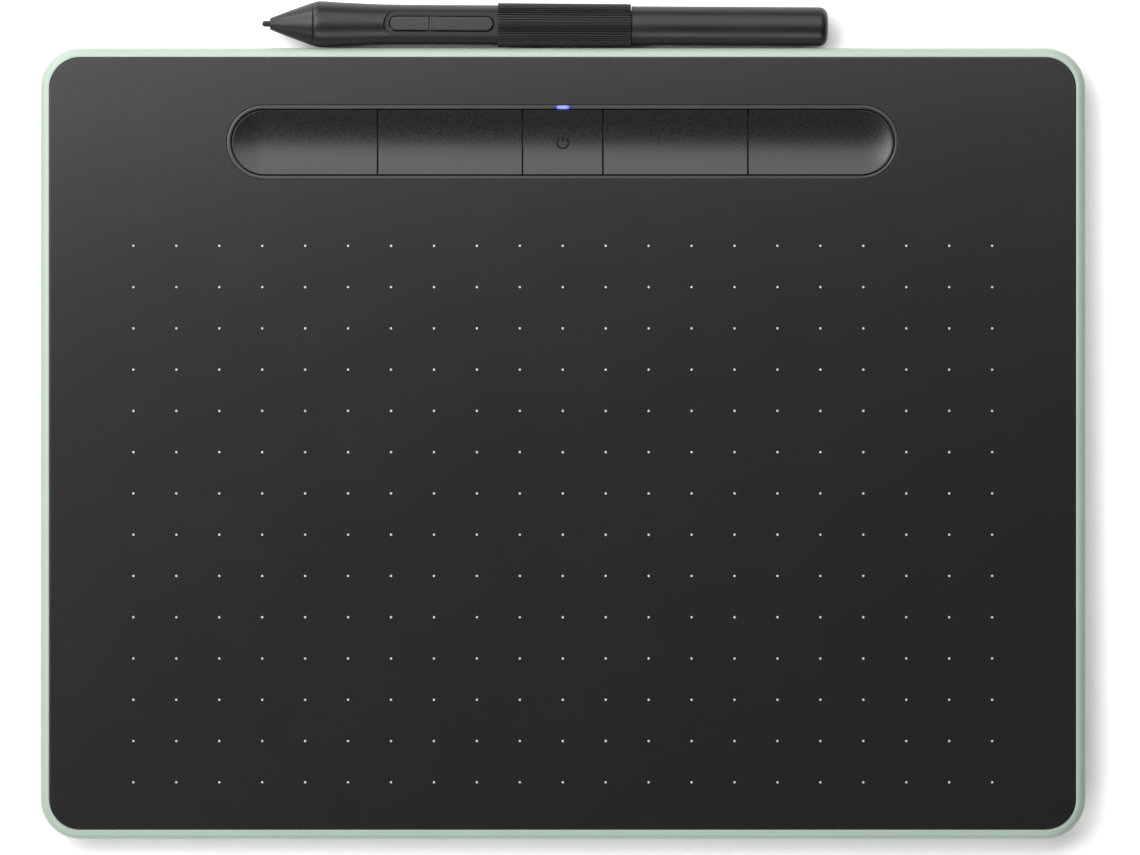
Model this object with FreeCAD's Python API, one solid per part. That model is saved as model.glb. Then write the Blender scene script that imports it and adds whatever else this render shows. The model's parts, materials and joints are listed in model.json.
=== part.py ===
import FreeCAD, Part
import math
import os

# A pen drawing tablet with its battery-free pen, in millimetres. X runs to the right, Y towards the
# rear edge with the key tray, Z up from the desk. The origin is on the desk, under the case's middle.
# The pen lies on the desk against the rear edge, with its nib to the left.

Vec = FreeCAD.Vector

# ---- case and panel, seen from above
case_width = 264.0
case_depth = 199.8
case_corner_radius = 10.2
rim_width = 2.43            # green rim that shows round the panel
rim_edge_radius = 2.1       # rounding of the rim's outer top edge
case_bottom_radius = 4.5    # rounding of the case's outer bottom edge
ledge_width = 1.5           # ledge inside the rim that the panel rests on
panel_gap = 0.1
panel_edge_radius = 0.25

# ---- the stack, from the desk up
foot_standoff = 0.8
case_floor = 1.6
board_standoff = 0.8
board_thickness = 1.0
dome_height = 0.55
plunger_drop = 0.25         # from the key's foot down to the top of its dome
key_flange_thickness = 0.9
key_flange_gap = 0.1
frame_flange_thickness = 1.1
frame_panel_gap = 0.1
panel_thickness = 1.6
frame_recess = 0.05         # tray ring's top below the panel's top
adhesive_thickness = 0.25
sensor_thickness = 0.8
shield_thickness = 0.3

z_case = foot_standoff
z_floor = z_case + case_floor
z_board_under = z_floor + board_standoff
z_board = z_board_under + board_thickness
z_dome = z_board + dome_height
z_key = z_dome + plunger_drop
z_key_flange = z_key + key_flange_thickness
z_frame = z_key_flange + key_flange_gap
z_frame_flange = z_frame + frame_flange_thickness
z_panel = z_frame_flange + frame_panel_gap
z_top = z_panel + panel_thickness
z_frame_top = z_top - frame_recess
z_adhesive = z_panel - adhesive_thickness
z_sensor = z_adhesive - sensor_thickness
z_shield = z_sensor - shield_thickness

# ---- key tray
tray_setback = 23.9         # from the rear edge to the tray's centre line
tray_half_length = 83.55    # to the round ends of the keys
key_half_width = 8.15
key_gap = 0.3               # dark line round every key
ring_width = 0.9            # visible ring round the keys
frame_flange_width = 3.65
power_key_width = 20.3
inner_key_width = 36.6
key_edge_drop = 0.45        # key edges below the ring's top
key_dish_depth = 1.2        # dish at the tray's centre line
key_flange_reach = 0.95     # key's flange out past its top, under the ring
key_pocket_wall = 1.15
symbol_radius = 1.65
symbol_line = 0.3
symbol_depth = 0.08
key_travel_clearance = 0.03
plunger_radius = 1.5
dome_radius = 2.5
dome_metal = 0.12
stake_radius = 0.8
stake_head_radius = 1.4
stake_head_thickness = 0.5
stake_clearance = 0.1
stake_places = (20.0, 60.0)  # distance of each pair from the middle

key_reach = key_half_width + key_flange_reach
tray_y = case_depth / 2 - tray_setback
tray_straight = tray_half_length - key_half_width
ring_inner = key_half_width + key_gap
ring_outer = ring_inner + ring_width
flange_outer = ring_outer + frame_flange_width
stake_y = (ring_outer + flange_outer) / 2

# ---- status light
light_width = 3.6
light_depth = 0.8
light_clearance = 0.05
light_shoulder = 0.8
light_shoulder_height = 0.6
led_height = 0.6
led_width = 1.6
light_foot_gap = 0.1

# ---- sensor, battery and boards
wall_to_sensor = 14.0
sensor_front_margin = 4.2
sensor_rear_margin = 6.8
shield_rear_strip = 6.0
battery_width = 62.0
battery_depth = 36.0
battery_x = -36.0
battery_rear_gap = 10.0
battery_pad = 0.15
battery_swell_gap = 0.3
bay_gap = 0.8
bay_wall = 1.0
rib_thickness = 1.0
rib_pitch = 30.0
rib_gap = 0.1
board_end = 6.0
board_wall_gap = 0.2
arm_half_depth = 7.0
arm_end = 9.0
connector_depth = 2.4
connector_height = 0.95
connector_width = 14.0
connector_inset = 1.0
flex_width = 12.0
flex_thickness = 0.2
plug_width = 5.0
plug_depth = 2.3
header_depth = 1.8
plug_overhang = 1.4
lead_radius = 0.5
lead_pitch = 1.3
lead_wander = 1.4
lead_sag = 0.3
chip_side = 6.0
chip_height = 0.9
can_side = 9.0
chip_share = 0.53           # place between a key's plunger and its end

# ---- charging socket in the left wall
socket_y = -2.0             # from the tray's centre line
socket_width = 7.5
socket_height = 2.55
socket_length = 6.5
socket_wall = 0.3
socket_recess = 0.7         # mouth inside the case's widest line
socket_clearance = 0.25
tongue_width = 4.2
tongue_thickness = 0.65

# ---- feet and screws
foot_radius = 6.0
foot_inset_x = 12.0
foot_inset_y = 14.0
foot_recess = 0.6
foot_clearance = 0.15
foot_edge_radius = 0.3
case_screw_radius = 1.0
case_screw_head = 1.9
case_screw_head_height = 1.2
case_screw_length = 4.3
screw_clearance = 0.15
thread_clearance = 0.02
post_radius = 4.0
post_height = 1.9
boss_radius = 2.5
boss_gap = 0.1
board_screw_radius = 0.8
board_screw_head = 1.5
board_screw_head_height = 0.9
board_screw_bite = 1.4
board_post_radius = 2.2
board_screw_gap = 0.3       # between a screw's head and the keys' flanges
board_screw_margin = 1.9
arm_screw_inset = 20.0
arm_screw_y = 6.5

board_screw_x = power_key_width / 2 + inner_key_width
board_screw_y = key_reach + board_screw_gap + board_screw_head
board_half_depth = board_screw_y + board_screw_margin

# ---- snap hooks between panel and case
hook_width = 8.0
hook_thickness = 1.0
hook_length = 2.6
hook_barb = 0.45
hook_barb_height = 0.8
hook_gap = 0.15
hook_slot_gap = 0.2
side_hook_places = (-60.0, -20.0, 20.0)
end_hook_places = (-80.0, -40.0, 0.0, 40.0, 80.0)

# ---- pen: lengths are counted from the nib's tip, along the pen's axis
pen_length = 143.0
pen_tip_x = -76.0
pen_case_gap = 0.3
waist_radius = 5.03
waist_end = 38.0
nib_radius = 0.75
nib_length = 25.0
cone_start = 2.0
cone_start_radius = 1.5
cone_end = 12.9
cone_end_step = 0.47        # radii below are this much over or under the waist's
crest_step = 0.79
collar_front_step = 0.52
collar_rear_step = 0.42
rear_step = -0.11
crest_start = 13.9
crest_end = 15.2
barrel_wall = 1.08
collar_start = 59.6
collar_end = 93.2
collar_wall = 0.65
collar_clearance = 0.05
rear_end_radius = 2.2
rear_wall = 1.15
rear_end_wall = 4.0
rear_gap = 0.2
spigot_length = 9.2
spigot_wall = 0.6
slide_clearance = 0.1
neck_length = 4.0
cone_wall = 0.75
nib_clearance = 0.2
cone_bore_end = 6.0

cone_end_radius = waist_radius + cone_end_step
crest_radius = waist_radius + crest_step
collar_front_radius = waist_radius + collar_front_step
collar_rear_radius = waist_radius + collar_rear_step
rear_radius = waist_radius + rear_step
barrel_bore = waist_radius - barrel_wall
neck_radius = barrel_bore - slide_clearance / 2
neck_bore = neck_radius - cone_wall
collar_bore = collar_rear_radius - collar_wall
barrel_tail_radius = collar_bore - collar_clearance
spigot_radius = barrel_bore - slide_clearance
spigot_bore = spigot_radius - spigot_wall
rear_start = collar_end + rear_gap
spigot_start = rear_start - spigot_length

# ---- side switch, in a flat land on top of the pen
land_start = 31.0
land_half_width = 3.0
land_depth = 0.88           # below the waist's top line
switch_start = 32.4
switch_end = 58.4
switch_half_width = 1.72
switch_gap = 0.3
switch_top_depth = 0.03
switch_thickness = 2.25
switch_groove = 42.5
switch_groove_width = 0.5
switch_groove_depth = 0.35
switch_edge_radius = 0.3
switch_lug_half = 1.3
switch_swing = 1.5          # degrees each way
pivot_depth = 1.45          # below the barrel's bore
pivot_radius = 0.5
pivot_clearance = 0.04
pivot_end_gap = 0.05
pivot_wall = 0.4            # of the lug, under the pin
ear_thickness = 0.8
ear_gap = 0.1
ear_half_length = 1.2
ear_over_pivot = 0.55

land_height = waist_radius - land_depth
switch_top = waist_radius - switch_top_depth
switch_bottom = switch_top - switch_thickness
pivot_height = barrel_bore - pivot_depth
pivot_half_length = math.sqrt((barrel_bore - pivot_end_gap) ** 2 - (pivot_height + pivot_radius) ** 2)

# ---- inside the pen
ferrite_lead = 1.9          # starts this far inside the nose cone
ferrite_length = 9.0
ferrite_inner = 1.1
coil_lead = 2.2
coil_length = 5.0
coil_thickness = 0.6
coil_gap = 0.1
holder_start = 21.5
holder_back = 0.9
holder_radius = 1.6
pad_thickness = 0.5
pad_radius = 1.2
sensor_block_length = 2.8
sensor_block_radius = 2.2
part_gap = 0.1
chassis_end = 78.8
chassis_clearance = 0.1
chassis_wall = 0.95
pen_board_margin = 0.45     # inside the chassis's outside
pen_board_depth = 3.75      # below the barrel's bore
pen_board_thickness = 0.8
tact_places = (34.0, 55.0)
tact_length = 3.0
tact_width = 2.6
tact_height = 0.9
tact_nub_radius = 0.6
tact_nub_height = 0.4
rack_start = 79.2
rack_flange = 3.3
rack_end = 95.0
rack_clearance = 0.15
spare_nib_wall = 0.35
spare_nib_count = 3
spare_nib_floor = 1.5
spare_nib_clearance = 0.05

ferrite_start = cone_end - ferrite_lead
coil_outer = neck_bore - coil_gap
ferrite_outer = coil_outer - coil_thickness
holder_end = nib_length + holder_back
sensor_block_start = holder_end + pad_thickness
chassis_start = sensor_block_start + sensor_block_length + part_gap
chassis_radius = barrel_bore - chassis_clearance
pen_board_half_width = chassis_radius - pen_board_margin
pen_board_top = barrel_bore - pen_board_depth
pen_board_low = pen_board_top - pen_board_thickness
rack_radius = spigot_bore - rack_clearance
spare_nib_circle = rack_radius - spare_nib_wall - spare_nib_clearance - nib_radius


# ---- shapes

def box(x_low, x_high, y_low, y_high, z_low, z_high):
    """Block between those limits."""
    corner = Vec(x_low, y_low, z_low)
    return Part.makeBox(x_high - x_low, y_high - y_low, z_high - z_low, corner)


def disc(radius, z_low, z_high, x=0.0, y=0.0):
    """Upright cylinder."""
    return Part.makeCylinder(radius, z_high - z_low, Vec(x, y, z_low))


def rod(radius, s_low, s_high, y=0.0, z=0.0):
    """Cylinder along X."""
    return Part.makeCylinder(radius, s_high - s_low, Vec(s_low, y, z), Vec(1, 0, 0))


def rounded_plate(width, depth, radius, z_low, z_high):
    """Upright plate round the Z axis with rounded corners."""
    plate = box(-width / 2, width / 2, -depth / 2, depth / 2, z_low, z_high)
    upright = [edge for edge in plate.Edges if abs(edge.tangentAt(edge.FirstParameter).z) > 0.9]
    return plate.makeFillet(radius, upright)


def edges_at(shape, z):
    """Edges that lie wholly at that height."""
    return [
        edge for edge in shape.Edges
        if abs(edge.BoundBox.ZMin - z) < 1e-4 and abs(edge.BoundBox.ZMax - z) < 1e-4
    ]


def pill(straight, radius, z_low, z_high, x=0.0, y=0.0):
    """Upright block with a pill outline: half discs of that radius, straight each side of x."""
    left, right = x - straight, x + straight
    front_left, front_right = Vec(left, y - radius, z_low), Vec(right, y - radius, z_low)
    rear_left, rear_right = Vec(left, y + radius, z_low), Vec(right, y + radius, z_low)
    wire = Part.Wire([
        Part.LineSegment(front_left, front_right).toShape(),
        Part.Arc(front_right, Vec(right + radius, y, z_low), rear_right).toShape(),
        Part.LineSegment(rear_right, rear_left).toShape(),
        Part.Arc(rear_left, Vec(left - radius, y, z_low), front_left).toShape(),
    ])
    return Part.Face(wire).extrude(Vec(0, 0, z_high - z_low))


def tray_block(radius, z_low, z_high):
    """Pill block round the key tray's centre line."""
    return pill(tray_straight, radius, z_low, z_high, 0.0, tray_y)


def turned(edges):
    """Solid turned about the X axis from a closed outline of edges in the XZ plane."""
    face = Part.Face(Part.Wire(edges))
    return face.revolve(Vec(0, 0, 0), Vec(1, 0, 0), 360)


def outline(points):
    """Straight edges through those (along, radius) points, closed."""
    corners = [Vec(along, 0, radius) for along, radius in points]
    following = corners[1:] + corners[:1]
    return [Part.LineSegment(a, b).toShape() for a, b in zip(corners, following)]


def tube(outer, inner, s_low, s_high):
    """Tube along X."""
    return rod(outer, s_low, s_high).cut(rod(inner, s_low, s_high))


def fused(shapes):
    """One solid out of shapes that touch."""
    whole = shapes[0].fuse(shapes[1:])
    return whole.removeSplitter()


def rounded_path(points):
    """Wire of straight runs joined by tangent arcs as large as the runs allow."""
    edges, start, radii = [], points[0], []
    for before, corner, after in zip(points, points[1:], points[2:]):
        back, ahead = before - corner, after - corner
        turn = math.pi - back.getAngle(ahead)
        reach = 0.45 * min(back.Length, ahead.Length)
        radii.append(reach / math.tan(turn / 2))
        back.normalize()
        ahead.normalize()
        enter, leave = corner + back * reach, corner + ahead * reach
        inward = back + ahead
        inward.normalize()
        middle = corner + inward * (radii[-1] / math.cos(turn / 2) - radii[-1])
        edges += [Part.LineSegment(start, enter).toShape(), Part.Arc(enter, middle, leave).toShape()]
        start = leave
    edges.append(Part.LineSegment(start, points[-1]).toShape())
    return Part.Wire(edges), radii


def swept(points, radius, name):
    """Round lead along a path, with its volume and tightest bend printed against what they should be."""
    wire, radii = rounded_path(points)
    across = points[1] - points[0]
    section = Part.Wire([Part.Circle(points[0], across, radius).toShape()])
    lead = wire.makePipeShell([section], True, False)
    share = lead.Volume / (math.pi * radius ** 2 * wire.Length)
    print(f"{name}: {wire.Length:.1f} mm long, volume share {share:.3f}, tightest bend {min(radii):.1f} mm")
    return lead


def cross_recess(head_radius, z_low, z_high, x, y):
    """Cross-shaped driver recess."""
    long_half, short_half = head_radius * 0.6, head_radius * 0.14
    across = box(x - long_half, x + long_half, y - short_half, y + short_half, z_low, z_high)
    along = box(x - short_half, x + short_half, y - long_half, y + long_half, z_low, z_high)
    return across.fuse(along)


# ---- places shared by several pieces

def corners():
    """Centres of the four feet, each with its name."""
    x, y = case_width / 2 - foot_inset_x, case_depth / 2 - foot_inset_y
    return {"front_left": (-x, -y), "front_right": (x, -y), "rear_left": (-x, y), "rear_right": (x, y)}


def inner_wall():
    """Half width and half depth of the space inside the case."""
    inset = rim_width + ledge_width
    return case_width / 2 - inset, case_depth / 2 - inset


def key_spans():
    """Every key's name, its two ends along the tray and its plunger's place."""
    power, inner, end = power_key_width / 2, power_key_width / 2 + inner_key_width, tray_half_length
    half = key_gap / 2
    spans = {
        "express_key_outer_left": (-end - half, -inner),
        "express_key_inner_left": (-inner, -power),
        "power_key": (-power, power),
        "express_key_inner_right": (power, inner),
        "express_key_outer_right": (inner, end + half),
    }
    return {name: (low + half, high - half, (low + high) / 2) for name, (low, high) in spans.items()}


def sensor_limits():
    """Left, right, front and rear of the sensor board."""
    half_x, half_y = inner_wall()
    right = half_x - wall_to_sensor
    return -right, right, -half_y + sensor_front_margin, tray_y - flange_outer - sensor_rear_margin


def battery_limits():
    """Left, right, front and rear of the battery."""
    rear = sensor_limits()[3] - shield_rear_strip - battery_rear_gap
    left = battery_x - battery_width / 2
    return left, left + battery_width, rear - battery_depth, rear


def board_screw_places():
    """Centres of the main board's screws."""
    along_tray = [
        (x, tray_y + y)
        for x in (-board_screw_x, board_screw_x) for y in (-board_screw_y, board_screw_y)
    ]
    return along_tray + [(-inner_wall()[0] + arm_screw_inset, tray_y - arm_screw_y)]


def hook_places():
    """Each snap hook as its place on the inner wall and the outward direction."""
    half_x, half_y = inner_wall()
    sides = [(side * half_x, y, side, 0) for side in (-1, 1) for y in side_hook_places]
    ends = [(x, side * half_y, 0, side) for side in (-1, 1) for x in end_hook_places]
    return sides + ends


def hook_block(place, near, far, half_width, z_low, z_high):
    """Block at a hook's place, from near to far along the outward direction."""
    x, y, out_x, out_y = place
    if out_x:
        low, high = sorted((x + out_x * near, x + out_x * far))
        return box(low, high, y - half_width, y + half_width, z_low, z_high)
    low, high = sorted((y + out_y * near, y + out_y * far))
    return box(x - half_width, x + half_width, low, high, z_low, z_high)


# ---- tablet: case and panel

def bottom_case():
    """Underside, walls and rim in one moulding, with ribs, posts, battery bay and openings."""
    case = rounded_plate(case_width, case_depth, case_corner_radius, z_case, z_top)
    case = case.makeFillet(rim_edge_radius, edges_at(case, z_top))
    case = case.makeFillet(case_bottom_radius, edges_at(case, z_case))
    half_x, half_y = inner_wall()
    pocket = rounded_plate(
        case_width - 2 * rim_width, case_depth - 2 * rim_width, case_corner_radius - rim_width,
        z_panel, z_top + 1)
    inner_radius = case_corner_radius - rim_width - ledge_width
    space = rounded_plate(2 * half_x, 2 * half_y, inner_radius, z_floor, z_top)
    case = case.cut([pocket, space])
    case = case.fuse(case_ribs() + case_posts())
    case = case.cut(case_holes())
    return case.removeSplitter()


def case_ribs():
    """Ribs that carry the sensor, kept clear of the battery bay, and the bay's own wall."""
    left, right, front, rear = sensor_limits()
    rear -= shield_rear_strip + rib_thickness
    top, half = z_shield - rib_gap, rib_thickness / 2
    ribs = []
    for step in range(-int(right // rib_pitch), int(right // rib_pitch) + 1):
        ribs.append(box(step * rib_pitch - half, step * rib_pitch + half, front, rear, z_floor, top))
    for step in range(int((rear - front) // rib_pitch) + 1):
        y = front + rib_thickness + step * rib_pitch
        ribs.append(box(left, right, y - half, y + half, z_floor, top))
    inner = battery_bay(bay_gap, top)
    outer = battery_bay(bay_gap + bay_wall, top)
    lead_half = plug_width / 2 + bay_wall
    lead_way = box(battery_x - lead_half, battery_x + lead_half,
                   battery_limits()[3], rear + rib_thickness, z_floor, top)
    grid = fused(ribs).cut(outer).fuse(outer.cut(inner))
    return [grid.cut(lead_way)]


def battery_bay(grown, z_high):
    """Block over the battery's outline grown on all sides."""
    left, right, front, rear = battery_limits()
    return box(left - grown, right + grown, front - grown, rear + grown, z_floor, z_high)


def case_posts():
    """Posts for the case screws and for the main board."""
    low, posts = z_floor - rib_gap, []
    for x, y in corners().values():
        posts.append(disc(post_radius, low, z_floor + post_height, x, y))
    for x, y in board_screw_places():
        posts.append(disc(board_post_radius, low, z_board_under, x, y))
    return posts


def case_screw_seat():
    """Height at which the case screws' heads stop."""
    return z_case + foot_recess + screw_clearance + case_screw_head_height


def case_holes():
    """Recesses for the feet, screw holes, socket window and snap slots."""
    holes = []
    for x, y in corners().values():
        holes.append(disc(foot_radius + foot_clearance, z_case - 1, z_case + foot_recess, x, y))
        holes.append(disc(case_screw_head + screw_clearance, z_case, case_screw_seat(), x, y))
        holes.append(disc(case_screw_radius + screw_clearance, z_case, z_panel, x, y))
    pilot_radius = board_screw_radius + thread_clearance
    for x, y in board_screw_places():
        holes.append(disc(pilot_radius, z_board_under - board_screw_bite, z_board, x, y))
    window = socket_limits(socket_clearance)
    holes.append(box(-case_width / 2 - 1, -inner_wall()[0] + 1, *window[2:]))
    slot_low = z_panel - hook_length - hook_slot_gap
    slot_high = z_panel - hook_length + hook_barb_height + hook_slot_gap
    for place in hook_places():
        half = hook_width / 2 + hook_slot_gap
        holes.append(hook_block(place, -hook_gap, hook_barb + hook_gap, half, slot_low, slot_high))
    return holes


def top_panel():
    """Flat drawing surface with the tray opening, screw bosses, snap hooks and heat stakes."""
    width, depth = case_width - 2 * (rim_width + panel_gap), case_depth - 2 * (rim_width + panel_gap)
    panel = rounded_plate(width, depth, case_corner_radius - rim_width - panel_gap, z_panel, z_top)
    panel = panel.makeFillet(panel_edge_radius, edges_at(panel, z_top))
    panel = panel.cut(tray_block(ring_outer + panel_gap, z_panel - 1, z_top + 1))
    boss_low = z_floor + post_height + boss_gap
    added = [disc(boss_radius, boss_low, z_panel, x, y) for x, y in corners().values()]
    for place in hook_places():
        low = z_panel - hook_length
        tab = hook_block(place, -hook_gap - hook_thickness, -hook_gap, hook_width / 2, low, z_panel)
        barb = hook_block(place, -hook_gap, hook_barb, hook_width / 2, low, low + hook_barb_height)
        added.append(tab.fuse(barb))
    for x, y in stake_centres():
        added.append(disc(stake_radius, z_frame - stake_head_thickness, z_panel, x, y))
        added.append(disc(stake_head_radius, z_frame - stake_head_thickness, z_frame, x, y))
    panel = panel.fuse(added)
    screw_end = case_screw_seat() + case_screw_length + thread_clearance
    pilots = [
        disc(case_screw_radius + thread_clearance, boss_low - 1, screw_end, x, y)
        for x, y in corners().values()
    ]
    return panel.cut(pilots).removeSplitter()


def stake_centres():
    """Centres of the heat stakes that hold the key frame."""
    return [
        (side * x, tray_y + across)
        for x in stake_places for side in (-1, 1) for across in (-stake_y, stake_y)
    ]


def foot(x, y):
    """Rubber foot in its recess."""
    shape = disc(foot_radius, 0, z_case + foot_recess, x, y)
    return shape.makeFillet(foot_edge_radius, edges_at(shape, 0))


def case_screws():
    """Four screws from the underside, hidden by the feet."""
    seat, screws = case_screw_seat(), []
    for x, y in corners().values():
        head = disc(case_screw_head, seat - case_screw_head_height, seat, x, y)
        shank = disc(case_screw_radius, seat, seat + case_screw_length, x, y)
        low = seat - case_screw_head_height
        recess = cross_recess(case_screw_head, low, low + case_screw_head_height / 2, x, y)
        screws.append(head.fuse(shank).cut(recess).removeSplitter())
    return Part.Compound(screws)


# ---- tablet: key tray

def key_frame():
    """Ring round the keys, with the flange that is staked under the panel."""
    ring = tray_block(ring_outer, z_frame, z_frame_top)
    flange = tray_block(flange_outer, z_frame, z_frame_flange)
    frame = ring.fuse(flange).cut(tray_block(ring_inner, z_frame - 1, z_top + 1))
    holes = [disc(stake_radius + stake_clearance, z_frame - 1, z_panel, x, y) for x, y in stake_centres()]
    half = light_width / 2 + light_clearance
    window = box(-half, half, tray_y + ring_inner - key_gap, tray_y + ring_outer + light_clearance,
                 z_frame - 1, z_top)
    return frame.cut(holes + [window]).removeSplitter()


def key_dish():
    """Capsule whose lower side is the dish that runs through all the keys."""
    rise = (key_half_width ** 2 + key_dish_depth ** 2) / (2 * key_dish_depth)
    z_axis = z_frame_top - key_edge_drop - key_dish_depth + rise
    middle = Part.makeCylinder(rise, 2 * tray_straight, Vec(-tray_straight, tray_y, z_axis), Vec(1, 0, 0))
    ends = [Part.makeSphere(rise, Vec(side * tray_straight, tray_y, z_axis)) for side in (-1, 1)]
    return [middle] + ends


def tray_slab(low, high, z_low, z_high):
    """Block across the whole tray between two places along it."""
    return box(low, high, tray_y - key_reach, tray_y + key_reach, z_low, z_high)


def key(low, high, plunger_x):
    """One key: dished top, flange under the ring, hollow underside and a plunger over its dome."""
    left_end = key_flange_reach if low < -tray_straight else 0.0
    right_end = key_flange_reach if high > tray_straight else 0.0
    top = tray_block(key_half_width, z_key, z_frame_top - key_edge_drop).cut(key_dish())
    top = top.common(tray_slab(low, high, z_key, z_top))
    flange = tray_block(key_reach, z_key, z_key_flange)
    flange = flange.common(tray_slab(low - left_end, high + right_end, z_key, z_key_flange))
    pocket = tray_block(key_half_width - key_pocket_wall, z_key, z_frame)
    pocket = pocket.common(tray_slab(low + key_pocket_wall, high - key_pocket_wall, z_key, z_frame))
    body = top.fuse(flange).cut(pocket)
    plunger = disc(plunger_radius, z_dome + key_travel_clearance, z_frame, plunger_x, tray_y)
    return body.fuse(plunger).removeSplitter()


def power_symbol():
    """Open ring with a bar in the gap, sunk into the middle of the dish."""
    low = z_frame_top - key_edge_drop - key_dish_depth - symbol_depth
    half, gap = symbol_line / 2, 2 * symbol_line
    ring = disc(symbol_radius, low, z_top, 0.0, tray_y)
    ring = ring.cut(disc(symbol_radius - symbol_line, low, z_top, 0.0, tray_y))
    ring = ring.cut(box(-gap, gap, tray_y, tray_y + 2 * symbol_radius, low, z_top))
    return ring.fuse(box(-half, half, tray_y, tray_y + symbol_radius, low, z_top))


def power_key(low, high, plunger_x):
    """Middle key with its symbol, notched where the status light passes its rear flange."""
    half = light_width / 2 + light_shoulder + key_gap
    notch = box(-half, half, tray_y + key_half_width, tray_y + key_half_width + 2 * key_flange_reach,
                z_key - 1, z_frame)
    return key(low, high, plunger_x).cut([notch, power_symbol()]).removeSplitter()


def snap_dome(x):
    """Thin metal dome on the main board."""
    radius = (dome_radius ** 2 + dome_height ** 2) / (2 * dome_height)
    centre = Vec(x, tray_y, z_dome - radius)
    above = disc(dome_radius, z_board, z_dome + 1, x, tray_y)
    shell = Part.makeSphere(radius, centre).cut(Part.makeSphere(radius - dome_metal, centre))
    return shell.common(above)


def status_light_pipe():
    """Clear strip in the ring, with a shoulder that keeps it from lifting out."""
    low, high = tray_y + ring_inner + light_clearance, tray_y + ring_inner + light_clearance + light_depth
    half = light_width / 2
    column = box(-half, half, low, high, z_board + led_height + light_foot_gap, z_frame_top)
    shoulder_top = z_frame - key_flange_gap / 2
    shoulder = box(-half - light_shoulder, half + light_shoulder, low, high,
                   shoulder_top - light_shoulder_height, shoulder_top)
    return column.fuse(shoulder).removeSplitter()


def status_led():
    """Light source on the board, under the light pipe."""
    y = tray_y + ring_inner + light_clearance + light_depth / 2
    half, quarter = led_width / 2, led_width / 4
    return box(-half, half, y - quarter, y + quarter, z_board, z_board + led_height)


# ---- tablet: electronics

def main_board():
    """Circuit board under the tray, with an arm that reaches the socket in the left wall."""
    half = board_half_depth
    right = tray_half_length + board_end
    board = box(-right, right, tray_y - half, tray_y + half, z_board_under, z_board)
    left = -inner_wall()[0] + board_wall_gap
    arm_y = tray_y + socket_y
    arm = box(left, -right + arm_end, arm_y - arm_half_depth, arm_y + arm_half_depth,
              z_board_under, z_board)
    holes = [disc(board_screw_radius + screw_clearance, 0, z_top, x, y) for x, y in board_screw_places()]
    holes += [disc(post_radius + board_wall_gap, 0, z_top, x, y) for x, y in corners().values()]
    return board.fuse(arm).cut(holes).removeSplitter()


def board_screws():
    """Small screws that hold the main board on the case's posts."""
    screws = []
    for x, y in board_screw_places():
        top = z_board + board_screw_head_height
        head = disc(board_screw_head, z_board, top, x, y)
        shank = disc(board_screw_radius, z_board_under - board_screw_bite + thread_clearance, z_board, x, y)
        recess = cross_recess(board_screw_head, top - board_screw_head_height / 2, top, x, y)
        screws.append(head.fuse(shank).cut(recess).removeSplitter())
    return Part.Compound(screws)


def socket_limits(extra=0.0):
    """Limits of the charging socket's shell, grown by extra on its four sides."""
    mouth = -case_width / 2 + socket_recess
    y = tray_y + socket_y
    return (mouth, mouth + socket_length, y - socket_width / 2 - extra, y + socket_width / 2 + extra,
            z_board - extra, z_board + socket_height + extra)


def charging_socket_shell():
    """Steel shell of the charging socket, closed at its inner end."""
    low, high, front, rear, bottom, top = socket_limits()
    wall = socket_wall
    hollow = box(low - 1, high - wall, front + wall, rear - wall, bottom + wall, top - wall)
    return box(low, high, front, rear, bottom, top).cut(hollow)


def charging_socket_tongue():
    """Plastic tongue that carries the socket's contacts."""
    low, high, front, rear, bottom, top = socket_limits()
    y, z = (front + rear) / 2, (bottom + top) / 2
    return box(low + socket_wall, high - socket_wall, y - tongue_width / 2, y + tongue_width / 2,
               z - tongue_thickness / 2, z + tongue_thickness / 2)


def sensor_board():
    """Position-sensing board under the drawing area."""
    left, right, front, rear = sensor_limits()
    return box(left, right, front, rear, z_sensor, z_adhesive)


def panel_adhesive():
    """Adhesive sheet between the sensor board and the panel."""
    left, right, front, rear = sensor_limits()
    return box(left + 1, right - 1, front + 1, rear - 1, z_adhesive, z_panel)


def shield_plate():
    """Steel plate behind the sensor board, stopping short of its rear edge."""
    left, right, front, rear = sensor_limits()
    return box(left, right, front, rear - shield_rear_strip, z_shield, z_sensor)


def battery_cell():
    """Flat pouch cell in its bay, clear of the shield."""
    left, right, front, rear = battery_limits()
    cell = box(left, right, front, rear, z_floor + battery_pad, z_shield - battery_swell_gap)
    upright = [edge for edge in cell.Edges if abs(edge.tangentAt(edge.FirstParameter).x) > 0.9]
    return cell.makeFillet(0.35 * (z_shield - battery_swell_gap - z_floor - battery_pad), upright)


def battery_pad_sheet():
    """Foam tape under the battery."""
    left, right, front, rear = battery_limits()
    return box(left + 3, right - 3, front + 3, rear - 3, z_floor, z_floor + battery_pad)


def plug_limits():
    """Front of the lead's plug, the joint between plug and header, and the header's rear."""
    front = tray_y - board_half_depth - plug_overhang
    return front, front + plug_depth, front + plug_depth + header_depth


def battery_plug():
    """Plug on the battery's lead."""
    front, joint, _ = plug_limits()
    half = plug_width / 2
    return box(battery_x - half, battery_x + half, front, joint, z_board, z_board + connector_height)


def battery_header():
    """Header on the main board that takes the battery's plug."""
    _, joint, rear = plug_limits()
    half = plug_width / 2 + rib_gap
    return box(battery_x - half, battery_x + half, joint, rear, z_board, z_board + connector_height)


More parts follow.
